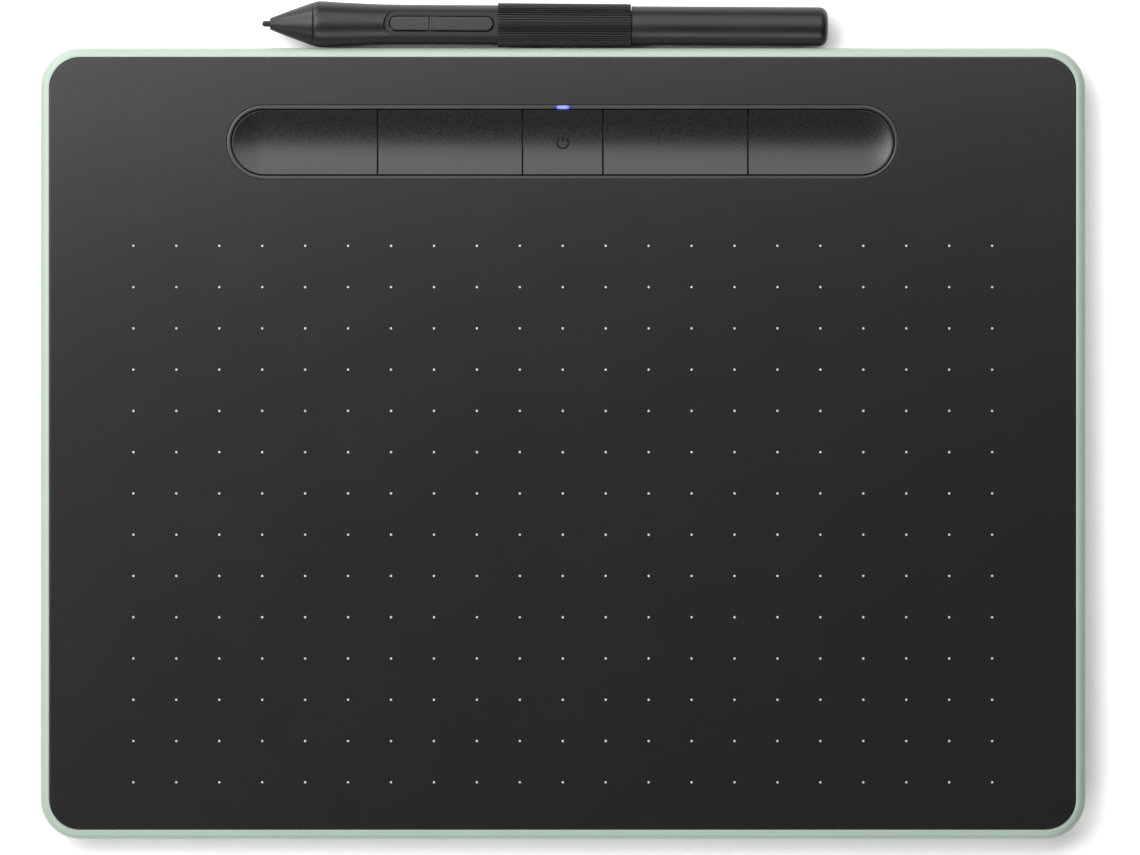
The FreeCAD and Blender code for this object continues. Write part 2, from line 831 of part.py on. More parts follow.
def battery_lead():
    """Two insulated leads from the battery to its plug, in a loose double bend."""
    rear, front = battery_limits()[3], plug_limits()[0]
    z_low, z_high = z_floor + battery_pad + 2 * lead_radius, z_board + connector_height / 2
    run = (front - rear) / 5
    leads = []
    for side in (-0.5, 0.5):
        x = battery_x + side * lead_pitch
        points = [
            Vec(x, rear, z_low + lead_sag),
            Vec(x, rear + run, z_low + lead_sag),
            Vec(x + lead_wander, rear + 2 * run, z_low),
            Vec(x + lead_wander, rear + 3 * run, z_low + lead_sag),
            Vec(x, rear + 4 * run, z_high),
            Vec(x, front, z_high),
        ]
        leads.append(swept(points, lead_radius, "battery lead"))
    return Part.Compound(leads)


def flex_heights():
    """Centre heights of the flat cable in its two connectors."""
    return z_board + connector_height / 2, z_sensor - connector_height / 2


def flex_ends():
    """Front faces and rear faces of the two flat-cable connectors, along Y."""
    board_front = tray_y - board_half_depth + connector_inset
    sensor_rear = sensor_limits()[3] - connector_inset
    return board_front, board_front + connector_depth, sensor_rear - connector_depth, sensor_rear


def sensor_flex_cable():
    """Flat cable between the sensor board and the main board."""
    z_main, z_sense = flex_heights()
    board_front, board_rear, sensor_front, sensor_rear = flex_ends()
    gap = (board_front - sensor_rear) / 4
    line = [
        (board_rear - connector_depth / 2, z_main), (board_front - gap, z_main),
        (sensor_rear + gap, z_sense), (sensor_front + connector_depth / 2, z_sense),
    ]
    half = flex_thickness / 2
    path = [Vec(-flex_width / 2, y, z + half) for y, z in line]
    path += [Vec(-flex_width / 2, y, z - half) for y, z in reversed(line)]
    return Part.Face(Part.makePolygon(path + path[:1])).extrude(Vec(flex_width, 0, 0))


def flex_connector_main():
    """Flat-cable connector on the main board."""
    front, rear = flex_ends()[:2]
    half = connector_width / 2
    block = box(-half, half, front, rear, z_board, z_board + connector_height)
    return block.cut(sensor_flex_cable())


def flex_connector_sensor():
    """Flat-cable connector under the sensor board."""
    front, rear = flex_ends()[2:]
    half = connector_width / 2
    block = box(-half, half, front, rear, z_sensor - connector_height, z_sensor)
    return block.cut(sensor_flex_cable())


def chip(key_name, end, side):
    """Package on the main board, under a key's hollow, towards its left (0) or right (1) end."""
    span = key_spans()[key_name]
    x, half = span[2] + chip_share * (span[end] - span[2]), side / 2
    return box(x - half, x + half, tray_y - half, tray_y + half, z_board, z_board + chip_height)


def board_chips():
    """Controller, memory and charger packages."""
    places = [("express_key_inner_left", 0), ("express_key_inner_right", 1), ("express_key_outer_left", 1)]
    return Part.Compound([chip(name, end, chip_side) for name, end in places])


def radio_shield_can():
    """Pressed can over the radio."""
    return chip("express_key_outer_right", 0, can_side)


# ---- pen, built along X with the nib's tip at the origin

def pen_nib():
    """Nib with a round tip."""
    stick = rod(nib_radius, nib_radius, nib_length)
    return stick.fuse(Part.makeSphere(nib_radius, Vec(nib_radius, 0, 0))).removeSplitter()


def pen_nose_cone():
    """Cone that guides the nib and plugs into the front barrel with a neck."""
    neck_end = cone_end + neck_length
    bore = nib_radius + nib_clearance
    return turned(outline([
        (cone_start, bore), (cone_start, cone_start_radius), (cone_end, cone_end_radius),
        (cone_end, neck_radius), (neck_end, neck_radius), (neck_end, neck_bore),
        (cone_end, neck_bore), (cone_bore_end, bore),
    ]))


def pen_front_barrel():
    """Flared barrel with a waist, the land and slot for the side switch, and a tail under the collar."""
    start, flare = Vec(crest_end, 0, crest_radius), Vec(waist_end, 0, waist_radius)
    reach = waist_end - crest_end
    curve = Part.BezierCurve()
    curve.setPoles([
        start, Vec(crest_end + reach / 6, 0, crest_radius - (crest_radius - waist_radius) / 4),
        Vec(crest_end + reach / 2, 0, waist_radius + (crest_radius - waist_radius) / 40), flare,
    ])
    before = [
        Vec(cone_end, 0, barrel_bore), Vec(cone_end, 0, cone_end_radius),
        Vec(crest_start, 0, crest_radius), start,
    ]
    after = [
        flare, Vec(collar_start, 0, waist_radius), Vec(collar_start, 0, barrel_tail_radius),
        Vec(collar_end, 0, barrel_tail_radius), Vec(collar_end, 0, barrel_bore), before[0],
    ]
    edges = [Part.LineSegment(a, b).toShape() for a, b in zip(before, before[1:])]
    edges.append(curve.toShape())
    edges += [Part.LineSegment(a, b).toShape() for a, b in zip(after, after[1:])]
    land_length = (collar_start - land_start - 2 * land_half_width) / 2 + land_half_width
    land = pill(land_length, land_half_width, land_height, crest_radius,
                land_start + land_half_width + land_length, 0.0)
    beyond = box(collar_start, collar_end, -crest_radius, crest_radius, land_height, crest_radius)
    slot = switch_outline(switch_half_width + switch_gap, 0.0, crest_radius)
    return turned(edges).cut([land.cut(beyond), slot])


def switch_outline(half_width, z_low, z_high):
    """Pill block round the side switch; a wider one is longer by the same amount."""
    middle = (switch_start + switch_end) / 2
    straight = (switch_end - switch_start) / 2 - switch_half_width
    return pill(straight, half_width, z_low, z_high, middle, 0.0)


def pen_side_switch():
    """Rocker with a groove over its pivot, a lug for the pin and a nub above each tact switch."""
    rocker = switch_outline(switch_half_width, switch_bottom, switch_top)
    rocker = rocker.makeFillet(switch_edge_radius, edges_at(rocker, switch_top))
    half = switch_groove_width / 2
    groove = box(switch_groove - half, switch_groove + half, -crest_radius, crest_radius,
                 switch_top - switch_groove_depth, crest_radius)
    low = pivot_height - pivot_radius - pivot_wall
    lug = box(switch_groove - switch_lug_half, switch_groove + switch_lug_half,
              -switch_half_width, switch_half_width, low, switch_bottom)
    nubs = []
    for place in tact_places:
        swing = abs(place - switch_groove) * math.sin(math.radians(switch_swing)) + part_gap
        nubs.append(disc(tact_nub_radius, tact_top() + swing, switch_bottom, place, 0.0))
    bore = cross_pin(pivot_radius + pivot_clearance, crest_radius)
    return rocker.cut(groove).fuse([lug] + nubs).cut(bore).removeSplitter()


def cross_pin(radius, half_length):
    """Cylinder across the pen, on the side switch's pivot."""
    start = Vec(switch_groove, -half_length, pivot_height)
    return Part.makeCylinder(radius, 2 * half_length, start, Vec(0, 1, 0))


def tact_top():
    """Height of the tact switches' nubs above the pen's axis."""
    return pen_board_top + tact_height + tact_nub_height


def pen_switch_pin():
    """Pivot pin of the side switch."""
    return cross_pin(pivot_radius, pivot_half_length)


def pen_grip_collar():
    """Sleeve over the joint of the two barrels."""
    return turned(outline([
        (collar_start, collar_bore), (collar_start, collar_front_radius),
        (collar_end, collar_rear_radius), (collar_end, collar_bore),
    ]))


def pen_rear_barrel():
    """Hollow rear barrel with a round end and a spigot that enters the front barrel."""
    bore, bottom = rear_radius - rear_wall, pen_length - rear_end_wall
    outer = rod(rear_radius, rear_start, pen_length)
    rim = [edge for edge in outer.Edges if edge.BoundBox.XMin > pen_length - 1e-4]
    outer = outer.makeFillet(rear_end_radius, rim)
    body = outer.cut(rod(bore, rear_start, bottom))
    spigot = tube(spigot_radius, spigot_bore, spigot_start, rear_start + spigot_wall)
    return body.fuse(spigot).removeSplitter()


def pen_nib_holder():
    """Collet that grips the nib and passes its force to the sensor."""
    return rod(holder_radius, holder_start, holder_end).cut(rod(nib_radius, 0, nib_length))


def pen_ferrite_core():
    """Ferrite tube round the nib."""
    return tube(ferrite_outer, ferrite_inner, ferrite_start, ferrite_start + ferrite_length)


def pen_coil():
    """Copper winding on the ferrite."""
    start = ferrite_start + coil_lead
    return tube(coil_outer, ferrite_outer, start, start + coil_length)


def pen_force_pad():
    """Silicone pad between nib holder and force sensor."""
    return rod(pad_radius, holder_end, sensor_block_start)


def pen_force_sensor():
    """Force sensor at the front of the chassis."""
    return rod(sensor_block_radius, sensor_block_start, sensor_block_start + sensor_block_length)


def pen_chassis():
    """Half-round carrier for the board, with two ears for the side switch's pin."""
    half = rod(chassis_radius, chassis_start, chassis_end)
    upper = box(chassis_start, chassis_end, -crest_radius, crest_radius, pen_board_low, crest_radius)
    trough = rod(chassis_radius - chassis_wall, chassis_start + chassis_wall, chassis_end - chassis_wall)
    ears = []
    near = switch_half_width + ear_gap
    for side in (-1, 1):
        low, high = sorted((side * near, side * (near + ear_thickness)))
        ear = box(switch_groove - ear_half_length, switch_groove + ear_half_length, low, high,
                  pen_board_low - chassis_wall, pivot_height + ear_over_pivot)
        ears.append(ear.common(rod(chassis_radius, chassis_start, chassis_end)))
    pin = cross_pin(pivot_radius, crest_radius)
    return half.cut([upper, trough]).fuse(ears).cut(pin).removeSplitter()


def pen_board():
    """Pen's circuit board, notched for the chassis's ears."""
    board = box(chassis_start, chassis_end, -pen_board_half_width, pen_board_half_width,
                pen_board_low, pen_board_top)
    half, notches = ear_half_length + part_gap, []
    for side in (-1, 1):
        low, high = sorted((side * switch_half_width, side * crest_radius))
        notches.append(box(switch_groove - half, switch_groove + half, low, high,
                           -crest_radius, crest_radius))
    return board.cut(notches)


def pen_tact_switches():
    """Two tact switches under the ends of the rocker."""
    switches = []
    for place in tact_places:
        half_length, half_width = tact_length / 2, tact_width / 2
        top = pen_board_top + tact_height
        body = box(place - half_length, place + half_length, -half_width, half_width, pen_board_top, top)
        nub = disc(tact_nub_radius, top, top + tact_nub_height, place, 0.0)
        switches.append(body.fuse(nub).removeSplitter())
    return Part.Compound(switches)


def spare_nib_centres():
    """Centres of the spare nibs across the pen's axis."""
    turns = [2 * math.pi * step / spare_nib_count for step in range(spare_nib_count)]
    return [(spare_nib_circle * math.sin(turn), spare_nib_circle * math.cos(turn)) for turn in turns]


def pen_nib_rack():
    """Plug in the front barrel's tail that holds the spare nibs."""
    flange_end = rack_start + rack_flange
    flange = rod(barrel_bore - part_gap / 2, rack_start, flange_end)
    stem = rod(rack_radius, flange_end, rack_end)
    holes = [
        rod(nib_radius + spare_nib_clearance, flange_end + spare_nib_floor, rack_end, y, z)
        for y, z in spare_nib_centres()
    ]
    return flange.fuse(stem).cut(holes).removeSplitter()


def pen_spare_nibs():
    """Three spare nibs standing in the rack."""
    start = rack_start + rack_flange + spare_nib_floor
    nibs = []
    for y, z in spare_nib_centres():
        nib = pen_nib()
        turn = FreeCAD.Rotation(Vec(0, 1, 0), 180)
        nib.Placement = FreeCAD.Placement(Vec(start + nib_length, y, z), turn)
        nibs.append(nib)
    return Part.Compound(nibs)


def pen_placement():
    """Lays the pen down: its crest and the collar's rear edge touch the desk and face the case alike."""
    slope = (crest_radius - collar_rear_radius) / (collar_end - crest_end)
    turn = FreeCAD.Rotation(Vec(1, 0, 0), Vec(1, -slope, -slope))
    crest = Vec(pen_tip_x + crest_end, case_depth / 2 + pen_case_gap + crest_radius, crest_radius)
    return FreeCAD.Placement(crest - turn.multVec(Vec(crest_end, 0, 0)), turn)


# ---- every piece by name

def tablet_pieces():
    """All pieces of the tablet."""
    pieces = {
        "bottom_case": bottom_case(),
        "top_panel": top_panel(),
        "key_frame": key_frame(),
        "case_screws": case_screws(),
        "main_board": main_board(),
        "board_screws": board_screws(),
        "board_chips": board_chips(),
        "radio_shield_can": radio_shield_can(),
        "charging_socket_shell": charging_socket_shell(),
        "charging_socket_tongue": charging_socket_tongue(),
        "status_led": status_led(),
        "status_light_pipe": status_light_pipe(),
        "sensor_board": sensor_board(),
        "panel_adhesive": panel_adhesive(),
        "shield_plate": shield_plate(),
        "sensor_flex_cable": sensor_flex_cable(),
        "flex_connector_main": flex_connector_main(),
        "flex_connector_sensor": flex_connector_sensor(),
        "battery_cell": battery_cell(),
        "battery_pad": battery_pad_sheet(),
        "battery_lead": battery_lead(),
        "battery_plug": battery_plug(),
        "battery_header": battery_header(),
    }
    for place, (x, y) in corners().items():
        pieces["foot_" + place] = foot(x, y)
    for name, (low, high, plunger_x) in key_spans().items():
        make = power_key if name == "power_key" else key
        pieces[name] = make(low, high, plunger_x)
        pieces["dome_" + name] = snap_dome(plunger_x)
    return pieces


def pen_pieces():
    """All pieces of the pen, laid in place."""
    pieces = {
        "pen_nib": pen_nib(),
        "pen_nose_cone": pen_nose_cone(),
        "pen_front_barrel": pen_front_barrel(),
        "pen_side_switch": pen_side_switch(),
        "pen_switch_pin": pen_switch_pin(),
        "pen_grip_collar": pen_grip_collar(),
        "pen_rear_barrel": pen_rear_barrel(),
        "pen_nib_holder": pen_nib_holder(),
        "pen_ferrite_core": pen_ferrite_core(),
        "pen_coil": pen_coil(),
        "pen_force_pad": pen_force_pad(),
        "pen_force_sensor": pen_force_sensor(),
        "pen_chassis": pen_chassis(),
        "pen_board": pen_board(),
        "pen_tact_switches": pen_tact_switches(),
        "pen_nib_rack": pen_nib_rack(),
        "pen_spare_nibs": pen_spare_nibs(),
    }
    laid = pen_placement()
    for shape in pieces.values():
        shape.Placement = laid.multiply(shape.Placement)
    return pieces


def main():
    """Builds every piece and writes it to its own file."""
    os.makedirs("parts", exist_ok=True)
    pieces = {**tablet_pieces(), **pen_pieces()}
    for name, shape in pieces.items():
        sound = shape.isValid() and all(solid.Volume > 0 for solid in shape.Solids)
        state = "sound" if sound else "NOT VALID"
        print(f"{name}: {len(shape.Solids)} solid(s), {shape.Volume:.1f} mm3, {state}")
        shape.exportStep(os.path.join("parts", name + ".step"))
    laid = pen_placement()
    axis = laid.Rotation.multVec(Vec(1, 0, 0))
    pivot = laid.multVec(Vec(switch_groove, 0, pivot_height))
    across = laid.Rotation.multVec(Vec(0, 1, 0))
    print("pen axis", tuple(axis), "pivot", tuple(pivot), "across", tuple(across), "base", tuple(laid.Base))


main()
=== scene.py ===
"""Looks of a pen drawing tablet and its pen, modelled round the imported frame.

Lengths are in millimetres while a piece is on the bench, and in metres once it is finished.
X runs to the right, Y towards the key tray, and Z up from the desk.
"""

import json
import logging
import math
from collections.abc import Callable, Sequence
from dataclasses import dataclass, field
from enum import Enum

import bmesh
import bpy
from mathutils import Matrix, Vector


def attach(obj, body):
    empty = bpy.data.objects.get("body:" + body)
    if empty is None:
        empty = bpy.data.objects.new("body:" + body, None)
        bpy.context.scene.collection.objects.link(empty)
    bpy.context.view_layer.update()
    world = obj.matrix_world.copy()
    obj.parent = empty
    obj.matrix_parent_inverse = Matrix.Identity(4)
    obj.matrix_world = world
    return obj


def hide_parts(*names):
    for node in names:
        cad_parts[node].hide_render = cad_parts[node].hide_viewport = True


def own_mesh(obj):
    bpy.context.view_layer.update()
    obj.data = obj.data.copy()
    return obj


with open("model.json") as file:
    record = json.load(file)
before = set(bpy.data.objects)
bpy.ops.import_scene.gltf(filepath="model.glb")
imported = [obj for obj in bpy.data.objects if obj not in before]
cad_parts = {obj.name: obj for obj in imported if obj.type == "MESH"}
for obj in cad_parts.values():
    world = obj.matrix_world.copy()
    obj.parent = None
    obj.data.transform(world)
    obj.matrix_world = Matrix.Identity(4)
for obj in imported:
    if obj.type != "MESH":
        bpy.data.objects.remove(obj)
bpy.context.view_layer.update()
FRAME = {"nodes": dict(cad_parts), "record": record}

LOG = logging.getLogger("pen_tablet")
MM = 0.001
NEAR = 1e-3
Point = Sequence[float]
Colour = tuple[float, float, float]


class Body(Enum):
    """The moving bodies that new pieces ride on, apart from the keys."""

    TABLET = "tablet"
    PEN = "pen"
    NIB = "nib"
    SIDE_SWITCH = "side_switch"
    REAR_BARREL = "rear_barrel"


class Along(Enum):
    """The direction of a round bar, as the turn that takes it there from upright."""

    X = (0.0, math.pi / 2, 0.0)
    Y = (math.pi / 2, 0.0, 0.0)
    Z = (0.0, 0.0, 0.0)


# ---- finishes


class NodeSheet:
    """A material's node tree, written one node at a time."""

    def __init__(self, name: str) -> None:
        """Starts a material with only a shader and its output.

        Args:
            name: the material's name.
        """
        self.material = bpy.data.materials.new(name)
        self.material.use_nodes = True
        self.tree = self.material.node_tree
        self.tree.nodes.clear()
        self.shader = self.add("ShaderNodeBsdfPrincipled")
        output = self.add("ShaderNodeOutputMaterial")
        self.join(self.shader, "BSDF", output, "Surface")
        self.place = self.add("ShaderNodeTexCoord")

    def add(self, kind: str, **values: object) -> bpy.types.Node:
        """Adds a node and sets its inputs or its own properties by name.

        Args:
            kind: Blender's name for the node.
            values: inputs with underscores for spaces, or properties of the node.

        Returns:
            The new node.
        """
        node = self.tree.nodes.new(kind)
        for key, value in values.items():
            socket = node.inputs.get(key.replace("_", " "))
            if socket is None:
                setattr(node, key, value)
            else:
                socket.default_value = value
        return node

    def join(self, source: bpy.types.Node, output: str, target: bpy.types.Node, name: str) -> None:
        """Links a node's output to another's input."""
        self.tree.links.new(source.outputs[output], target.inputs[name])

    def noise(self, size: float, stretch: Point = (1.0, 1.0, 1.0), detail: float = 3.0) -> bpy.types.Node:
        """Adds a noise whose blotches are about that large on the piece.

        Args:
            size: the blotches' size in metres.
            stretch: how much the pattern is squeezed along each axis.
            detail: how many finer layers it has.

        Returns:
            The noise node.
        """
        mapping = self.add("ShaderNodeMapping", Scale=stretch)
        self.join(self.place, "Object", mapping, "Vector")
        noise = self.add("ShaderNodeTexNoise", Scale=1.0 / size, Detail=detail, Roughness=0.6)
        self.join(mapping, "Vector", noise, "Vector")
        return noise

    def spread(self, source: bpy.types.Node, output: str, low: float, high: float, target: str) -> None:
        """Drives one of the shader's inputs between two values.

        Args:
            source: the node that drives it.
            output: the name of its output.
            low: the value for 0.3.
            high: the value for 0.7.
            target: the shader's input.
        """
        span = self.add("ShaderNodeMapRange", From_Min=0.3, From_Max=0.7, To_Min=low, To_Max=high)
        self.join(source, output, span, "Value")
        self.join(span, "Result", self.shader, target)

    def tint(
        self, source: bpy.types.Node, output: str, first: Colour, last: Colour, low: float = 0.3, high: float = 0.7
    ) -> bpy.types.Node:
        """Mixes the shader's colour between two tones.

        Args:
            source: the node that drives the mix.
            output: the name of its output.
            first: the tone at the low value.
            last: the tone at the high value.
            low: where the mix starts.
            high: where it ends.

        Returns:
            The node that gives the mixed colour.
        """
        ramp = self.add("ShaderNodeValToRGB")
        stops = ramp.color_ramp.elements
        stops[0].position, stops[0].color = low, (*first, 1.0)
        stops[1].position, stops[1].color = high, (*last, 1.0)
        self.join(source, output, ramp, "Fac")
        self.join(ramp, "Color", self.shader, "Base Color")
        return ramp

    def relief(self, source: bpy.types.Node, output: str, depth: float, strength: float = 1.0) -> None:
        """Raises the surface by a pattern.

        Args:
            source: the node that gives the height.
            output: the name of its output.
            depth: the pattern's height in metres.
            strength: how much of it is felt.
        """
        bump = self.add("ShaderNodeBump", Strength=strength, Distance=depth)
        self.join(source, output, bump, "Height")
        self.join(bump, "Normal", self.shader, "Normal")


@dataclass(frozen=True)
class Finish:
    """A finish: the record's slot, the colour and how rough it is."""

    slot: str
    colour: Colour
    roughness: float = 0.5
    specular: float = 0.5

    def shade(self, factor: float) -> Colour:
        """Gives the colour made lighter or darker."""
        return tuple(min(1.0, part * factor) for part in self.colour)

    def draw(self, sheet: NodeSheet) -> None:
        """Writes the finish's own nodes."""
        sheet.shader.inputs["Roughness"].default_value = self.roughness

    def material(self) -> bpy.types.Material:
        """Gives the finish's material, which is made the first time it is asked for.

        Returns:
            The material, named after the slot.
        """
        known = bpy.data.materials.get("finish_" + self.slot)
        if known is not None:
            return known
        sheet = NodeSheet("finish_" + self.slot)
        sheet.shader.inputs["Specular IOR Level"].default_value = self.specular
        self.draw(sheet)
        return sheet.material

    def dress(self, piece: bpy.types.Object) -> None:
        """Gives the piece this finish and no other.

        Args:
            piece: what it goes on.
        """
        piece.data.materials.clear()
        piece.data.materials.append(self.material())
        for face in piece.data.polygons:
            face.material_index = 0


@dataclass(frozen=True)
class Moulded(Finish):
    """Moulded plastic or rubber with a fine spark-eroded grain and faint mottling."""

    grain: float = 0.0003
    depth: float = 0.00001
    mottle: float = 0.06
    patch: float = 0.02
    gloss_swing: float = 0.05

    def draw(self, sheet: NodeSheet) -> None:
        """Writes grain, mottling and patches of slightly different gloss.

        Args:
            sheet: the material's node tree.
        """
        grain = sheet.noise(self.grain, detail=2.0)
        patches = sheet.noise(self.patch)
        sheet.relief(grain, "Fac", self.depth)
        self.vary(sheet, patches, self.mottle)

    def vary(self, sheet: NodeSheet, pattern: bpy.types.Node, swing: float) -> None:
        """Lets tone and gloss follow a pattern.

        Args:
            sheet: the material's node tree.
            pattern: the noise that they follow.
            swing: how far the tone goes each way.
        """
        sheet.tint(pattern, "Fac", self.shade(1.0 - swing), self.shade(1.0 + swing))
        low, high = self.roughness - self.gloss_swing, self.roughness + self.gloss_swing
        sheet.spread(pattern, "Fac", low, high, "Roughness")


@dataclass(frozen=True)
class Speckled(Moulded):
    """Moulded plastic whose grain is coarse enough to show as light and dark specks."""

    speckle: float = 0.35

    def draw(self, sheet: NodeSheet) -> None:
        """Writes the grain into both relief and colour.

        Args:
            sheet: the material's node tree.
        """
        grain = sheet.noise(self.grain, detail=4.0)
        sheet.relief(grain, "Fac", self.depth)
        self.vary(sheet, grain, self.speckle)


@dataclass(frozen=True)
class Metal(Finish):
    """Sheet metal or wire with fine lines from rolling or drawing."""

    line: float = 0.0002
    stretch: tuple[float, float, float] = (0.05, 1.0, 1.0)
    depth: float = 0.000002

    def draw(self, sheet: NodeSheet) -> None:
        """Writes the drawn lines into relief, gloss and tone.

        Args:
            sheet: the material's node tree.
        """
        lines = sheet.noise(self.line, self.stretch)
        sheet.shader.inputs["Metallic"].default_value = 1.0
        sheet.relief(lines, "Fac", self.depth)
        sheet.tint(lines, "Fac", self.shade(0.85), self.shade(1.1))
        sheet.spread(lines, "Fac", self.roughness * 0.8, self.roughness * 1.2, "Roughness")


@dataclass(frozen=True)
class Laminate(Finish):
    """Circuit board under solder mask, with tracks that show through as lighter cells."""

    cell: float = 0.002
    depth: float = 0.00002

    def draw(self, sheet: NodeSheet) -> None:
        """Writes the tracks as the edges between rectangular cells.

        Args:
            sheet: the material's node tree.
        """
        super().draw(sheet)
        tracks = sheet.add(
            "ShaderNodeTexVoronoi", Scale=1.0 / self.cell, feature="DISTANCE_TO_EDGE", Randomness=0.35
        )
        sheet.join(sheet.place, "Object", tracks, "Vector")
        sheet.tint(tracks, "Distance", self.shade(1.8), self.colour, 0.04, 0.07)
        sheet.relief(tracks, "Distance", self.depth)


@dataclass(frozen=True)
class Wound(Finish):
    """Enamelled wire wound side by side along X, with painted shade between the turns."""

    pitch: float = 0.0004
    depth: float = 0.0001

    def draw(self, sheet: NodeSheet) -> None:
        """Writes one band for each turn of the wire, in relief and as painted shade that darkens the colour where
        the turns meet.

        Args:
            sheet: the material's node tree.
        """
        super().draw(sheet)
        mapping = sheet.add("ShaderNodeMapping")
        sheet.join(sheet.place, "Object", mapping, "Vector")
        bands = sheet.add("ShaderNodeTexWave", Scale=math.pi / (10 * self.pitch), bands_direction="X")
        sheet.join(mapping, "Vector", bands, "Vector")
        sheet.shader.inputs["Metallic"].default_value = 1.0
        sheet.relief(bands, "Fac", self.depth)
        # painted shade: across part of every turn the colour falls to 0.4 of the copper
        sheet.tint(bands, "Fac", self.shade(0.4), self.colour)


@dataclass(frozen=True)
class LitWindow(Finish):
    """Clear plastic lit from below, paler in the middle than at its ends."""

    edge_colour: Colour = (0.008, 0.012, 0.30)
    middle: tuple[float, float, float] = (0.0, 0.0849, 0.0087)
    half_length: float = 0.0018
    glow: float = 0.7

    def draw(self, sheet: NodeSheet) -> None:
        """Writes the glow as a fall-off from the middle to the two ends.

        Args:
            sheet: the material's node tree.
        """
        super().draw(sheet)
        scales = (1.0 / self.half_length, 0.2 / self.half_length, 0.2 / self.half_length)
        mapping = sheet.add(
            "ShaderNodeMapping",
            Location=tuple(-part * scale for part, scale in zip(self.middle, scales)), Scale=scales,
        )
        sheet.join(sheet.place, "Object", mapping, "Vector")
        fall = sheet.add("ShaderNodeTexGradient", gradient_type="SPHERICAL")
        sheet.join(mapping, "Vector", fall, "Vector")
        ramp = sheet.tint(fall, "Fac", self.edge_colour, self.colour, 0.0, 0.5)
        sheet.join(ramp, "Color", sheet.shader, "Emission Color")
        sheet.shader.inputs["Emission Strength"].default_value = self.glow


GREEN_SHELL = Moulded("green_shell", (0.300, 0.375, 0.315), 0.42, grain=0.00025, depth=0.000004, mottle=0.02)
PANEL = Moulded(
    "black_panel", (0.0098, 0.0082, 0.0088), 0.27, 0.42, grain=0.0003, depth=0.0000015, mottle=0.02,
    gloss_swing=0.006,
)
RING = Moulded("tray_ring", (0.019, 0.019, 0.020), 0.34, grain=0.0002, depth=0.000002)
KEY = Speckled("key_top", (0.0066, 0.0063, 0.0066), 0.29, 0.52, grain=0.0005, depth=0.000014)
FOOT = Moulded("foot_rubber", (0.035, 0.035, 0.035), 0.8, grain=0.0004, depth=0.00002)
PEN_BODY = Moulded("pen_black", (0.008, 0.008, 0.0083), 0.37, 0.35, grain=0.00018, depth=0.000002)
PEN_COLLAR = Moulded("pen_collar", (0.0065, 0.0065, 0.0068), 0.46, 0.36, grain=0.0002, depth=0.00001)
PEN_SWITCH = Moulded("pen_switch", (0.012, 0.012, 0.0125), 0.34, 0.45, grain=0.00018, depth=0.000002)
NIB = Moulded("nib_resin", (0.006, 0.006, 0.0065), 0.5, 0.3, grain=0.0001, depth=0.000003)
WINDOW = LitWindow("light_pipe", (0.16, 0.20, 0.50), 0.25)
SOCKET = Metal("socket_steel", (0.42, 0.42, 0.44), 0.3, stretch=(0.3, 1.0, 1.0))
CHIP = Moulded("chip_resin", (0.015, 0.015, 0.015), 0.6, grain=0.0001)
PRINT = Moulded("dot_print", (0.42, 0.42, 0.42), 0.6, grain=0.0001, depth=0.000002)
# Power symbol fill: near-black with little sheen, painted shade standing in for the shade in a debossed groove.
SYMBOL_PAINTED_SHADE = Moulded("key_symbol_painted_shade", (0.004, 0.004, 0.004), 0.6, 0.1, grain=0.0001, depth=0.000002)

INNER_FINISHES: dict[str, Finish] = {
    "screw_steel": Metal("screw_steel", (0.35, 0.35, 0.37), 0.35),
    # dome_steel is darker than bare steel so that domes seen through narrow gaps, such as the pen's switch slot,
    # read dark: partly painted shade.
    "dome_steel": Metal("dome_steel", (0.34, 0.34, 0.35), 0.35),
    # circuit_board: the mask's own dark green, set darker still so that the board seen through the gaps between the
    # keys reads dark: partly painted shade.
    "circuit_board": Laminate("circuit_board", (0.006, 0.040, 0.020), 0.4),
    "sensor_laminate": Laminate("sensor_laminate", (0.02, 0.06, 0.13), 0.35, cell=0.006),
    "adhesive_film": Moulded("adhesive_film", (0.75, 0.72, 0.62), 0.5),
    "shield_steel": Metal("shield_steel", (0.55, 0.55, 0.57), 0.35),
    "chip_resin": CHIP,
    "connector_plastic": Moulded("connector_plastic", (0.72, 0.68, 0.58), 0.5),
    "flex_film": Laminate("flex_film", (0.40, 0.17, 0.03), 0.3, cell=0.001),
    "battery_pouch": Metal("battery_pouch", (0.66, 0.66, 0.68), 0.4, line=0.002),
    "foam_tape": Moulded("foam_tape", (0.05, 0.05, 0.05), 0.9, depth=0.00005),
    "lead_insulation": Moulded("lead_insulation", (0.35, 0.02, 0.015), 0.4),
    "led_body": Moulded("led_body", (0.85, 0.84, 0.75), 0.2),
    "pen_carrier": Moulded("pen_carrier", (0.10, 0.10, 0.105), 0.5),
    "ferrite": Moulded("ferrite", (0.03, 0.03, 0.034), 0.65, grain=0.0002),
    "coil_copper": Wound("coil_copper", (0.72, 0.30, 0.12), 0.3),
    "silicone": Moulded("silicone", (0.55, 0.55, 0.58), 0.6),
    # pin_steel is darker than bare steel so that the pin seen at the ends of the rocker's groove reads dark: partly
    # painted shade.
    "pin_steel": Metal("pin_steel", (0.16, 0.16, 0.17), 0.35),
    "nib_resin": NIB,
    "socket_steel": SOCKET,
}


# ---- the bench


def put_down() -> None:
    """Leaves edit mode and lets go of everything."""
    if bpy.context.object is not None and bpy.context.object.mode == "EDIT":
        bpy.ops.object.mode_set(mode="OBJECT")
    bpy.ops.object.select_all(action="DESELECT")


def take(piece: bpy.types.Object) -> None:
    """Makes a piece the only one in hand.

    Args:
        piece: the piece to take.
    """
    put_down()
    piece.select_set(True)
    bpy.context.view_layer.objects.active = piece


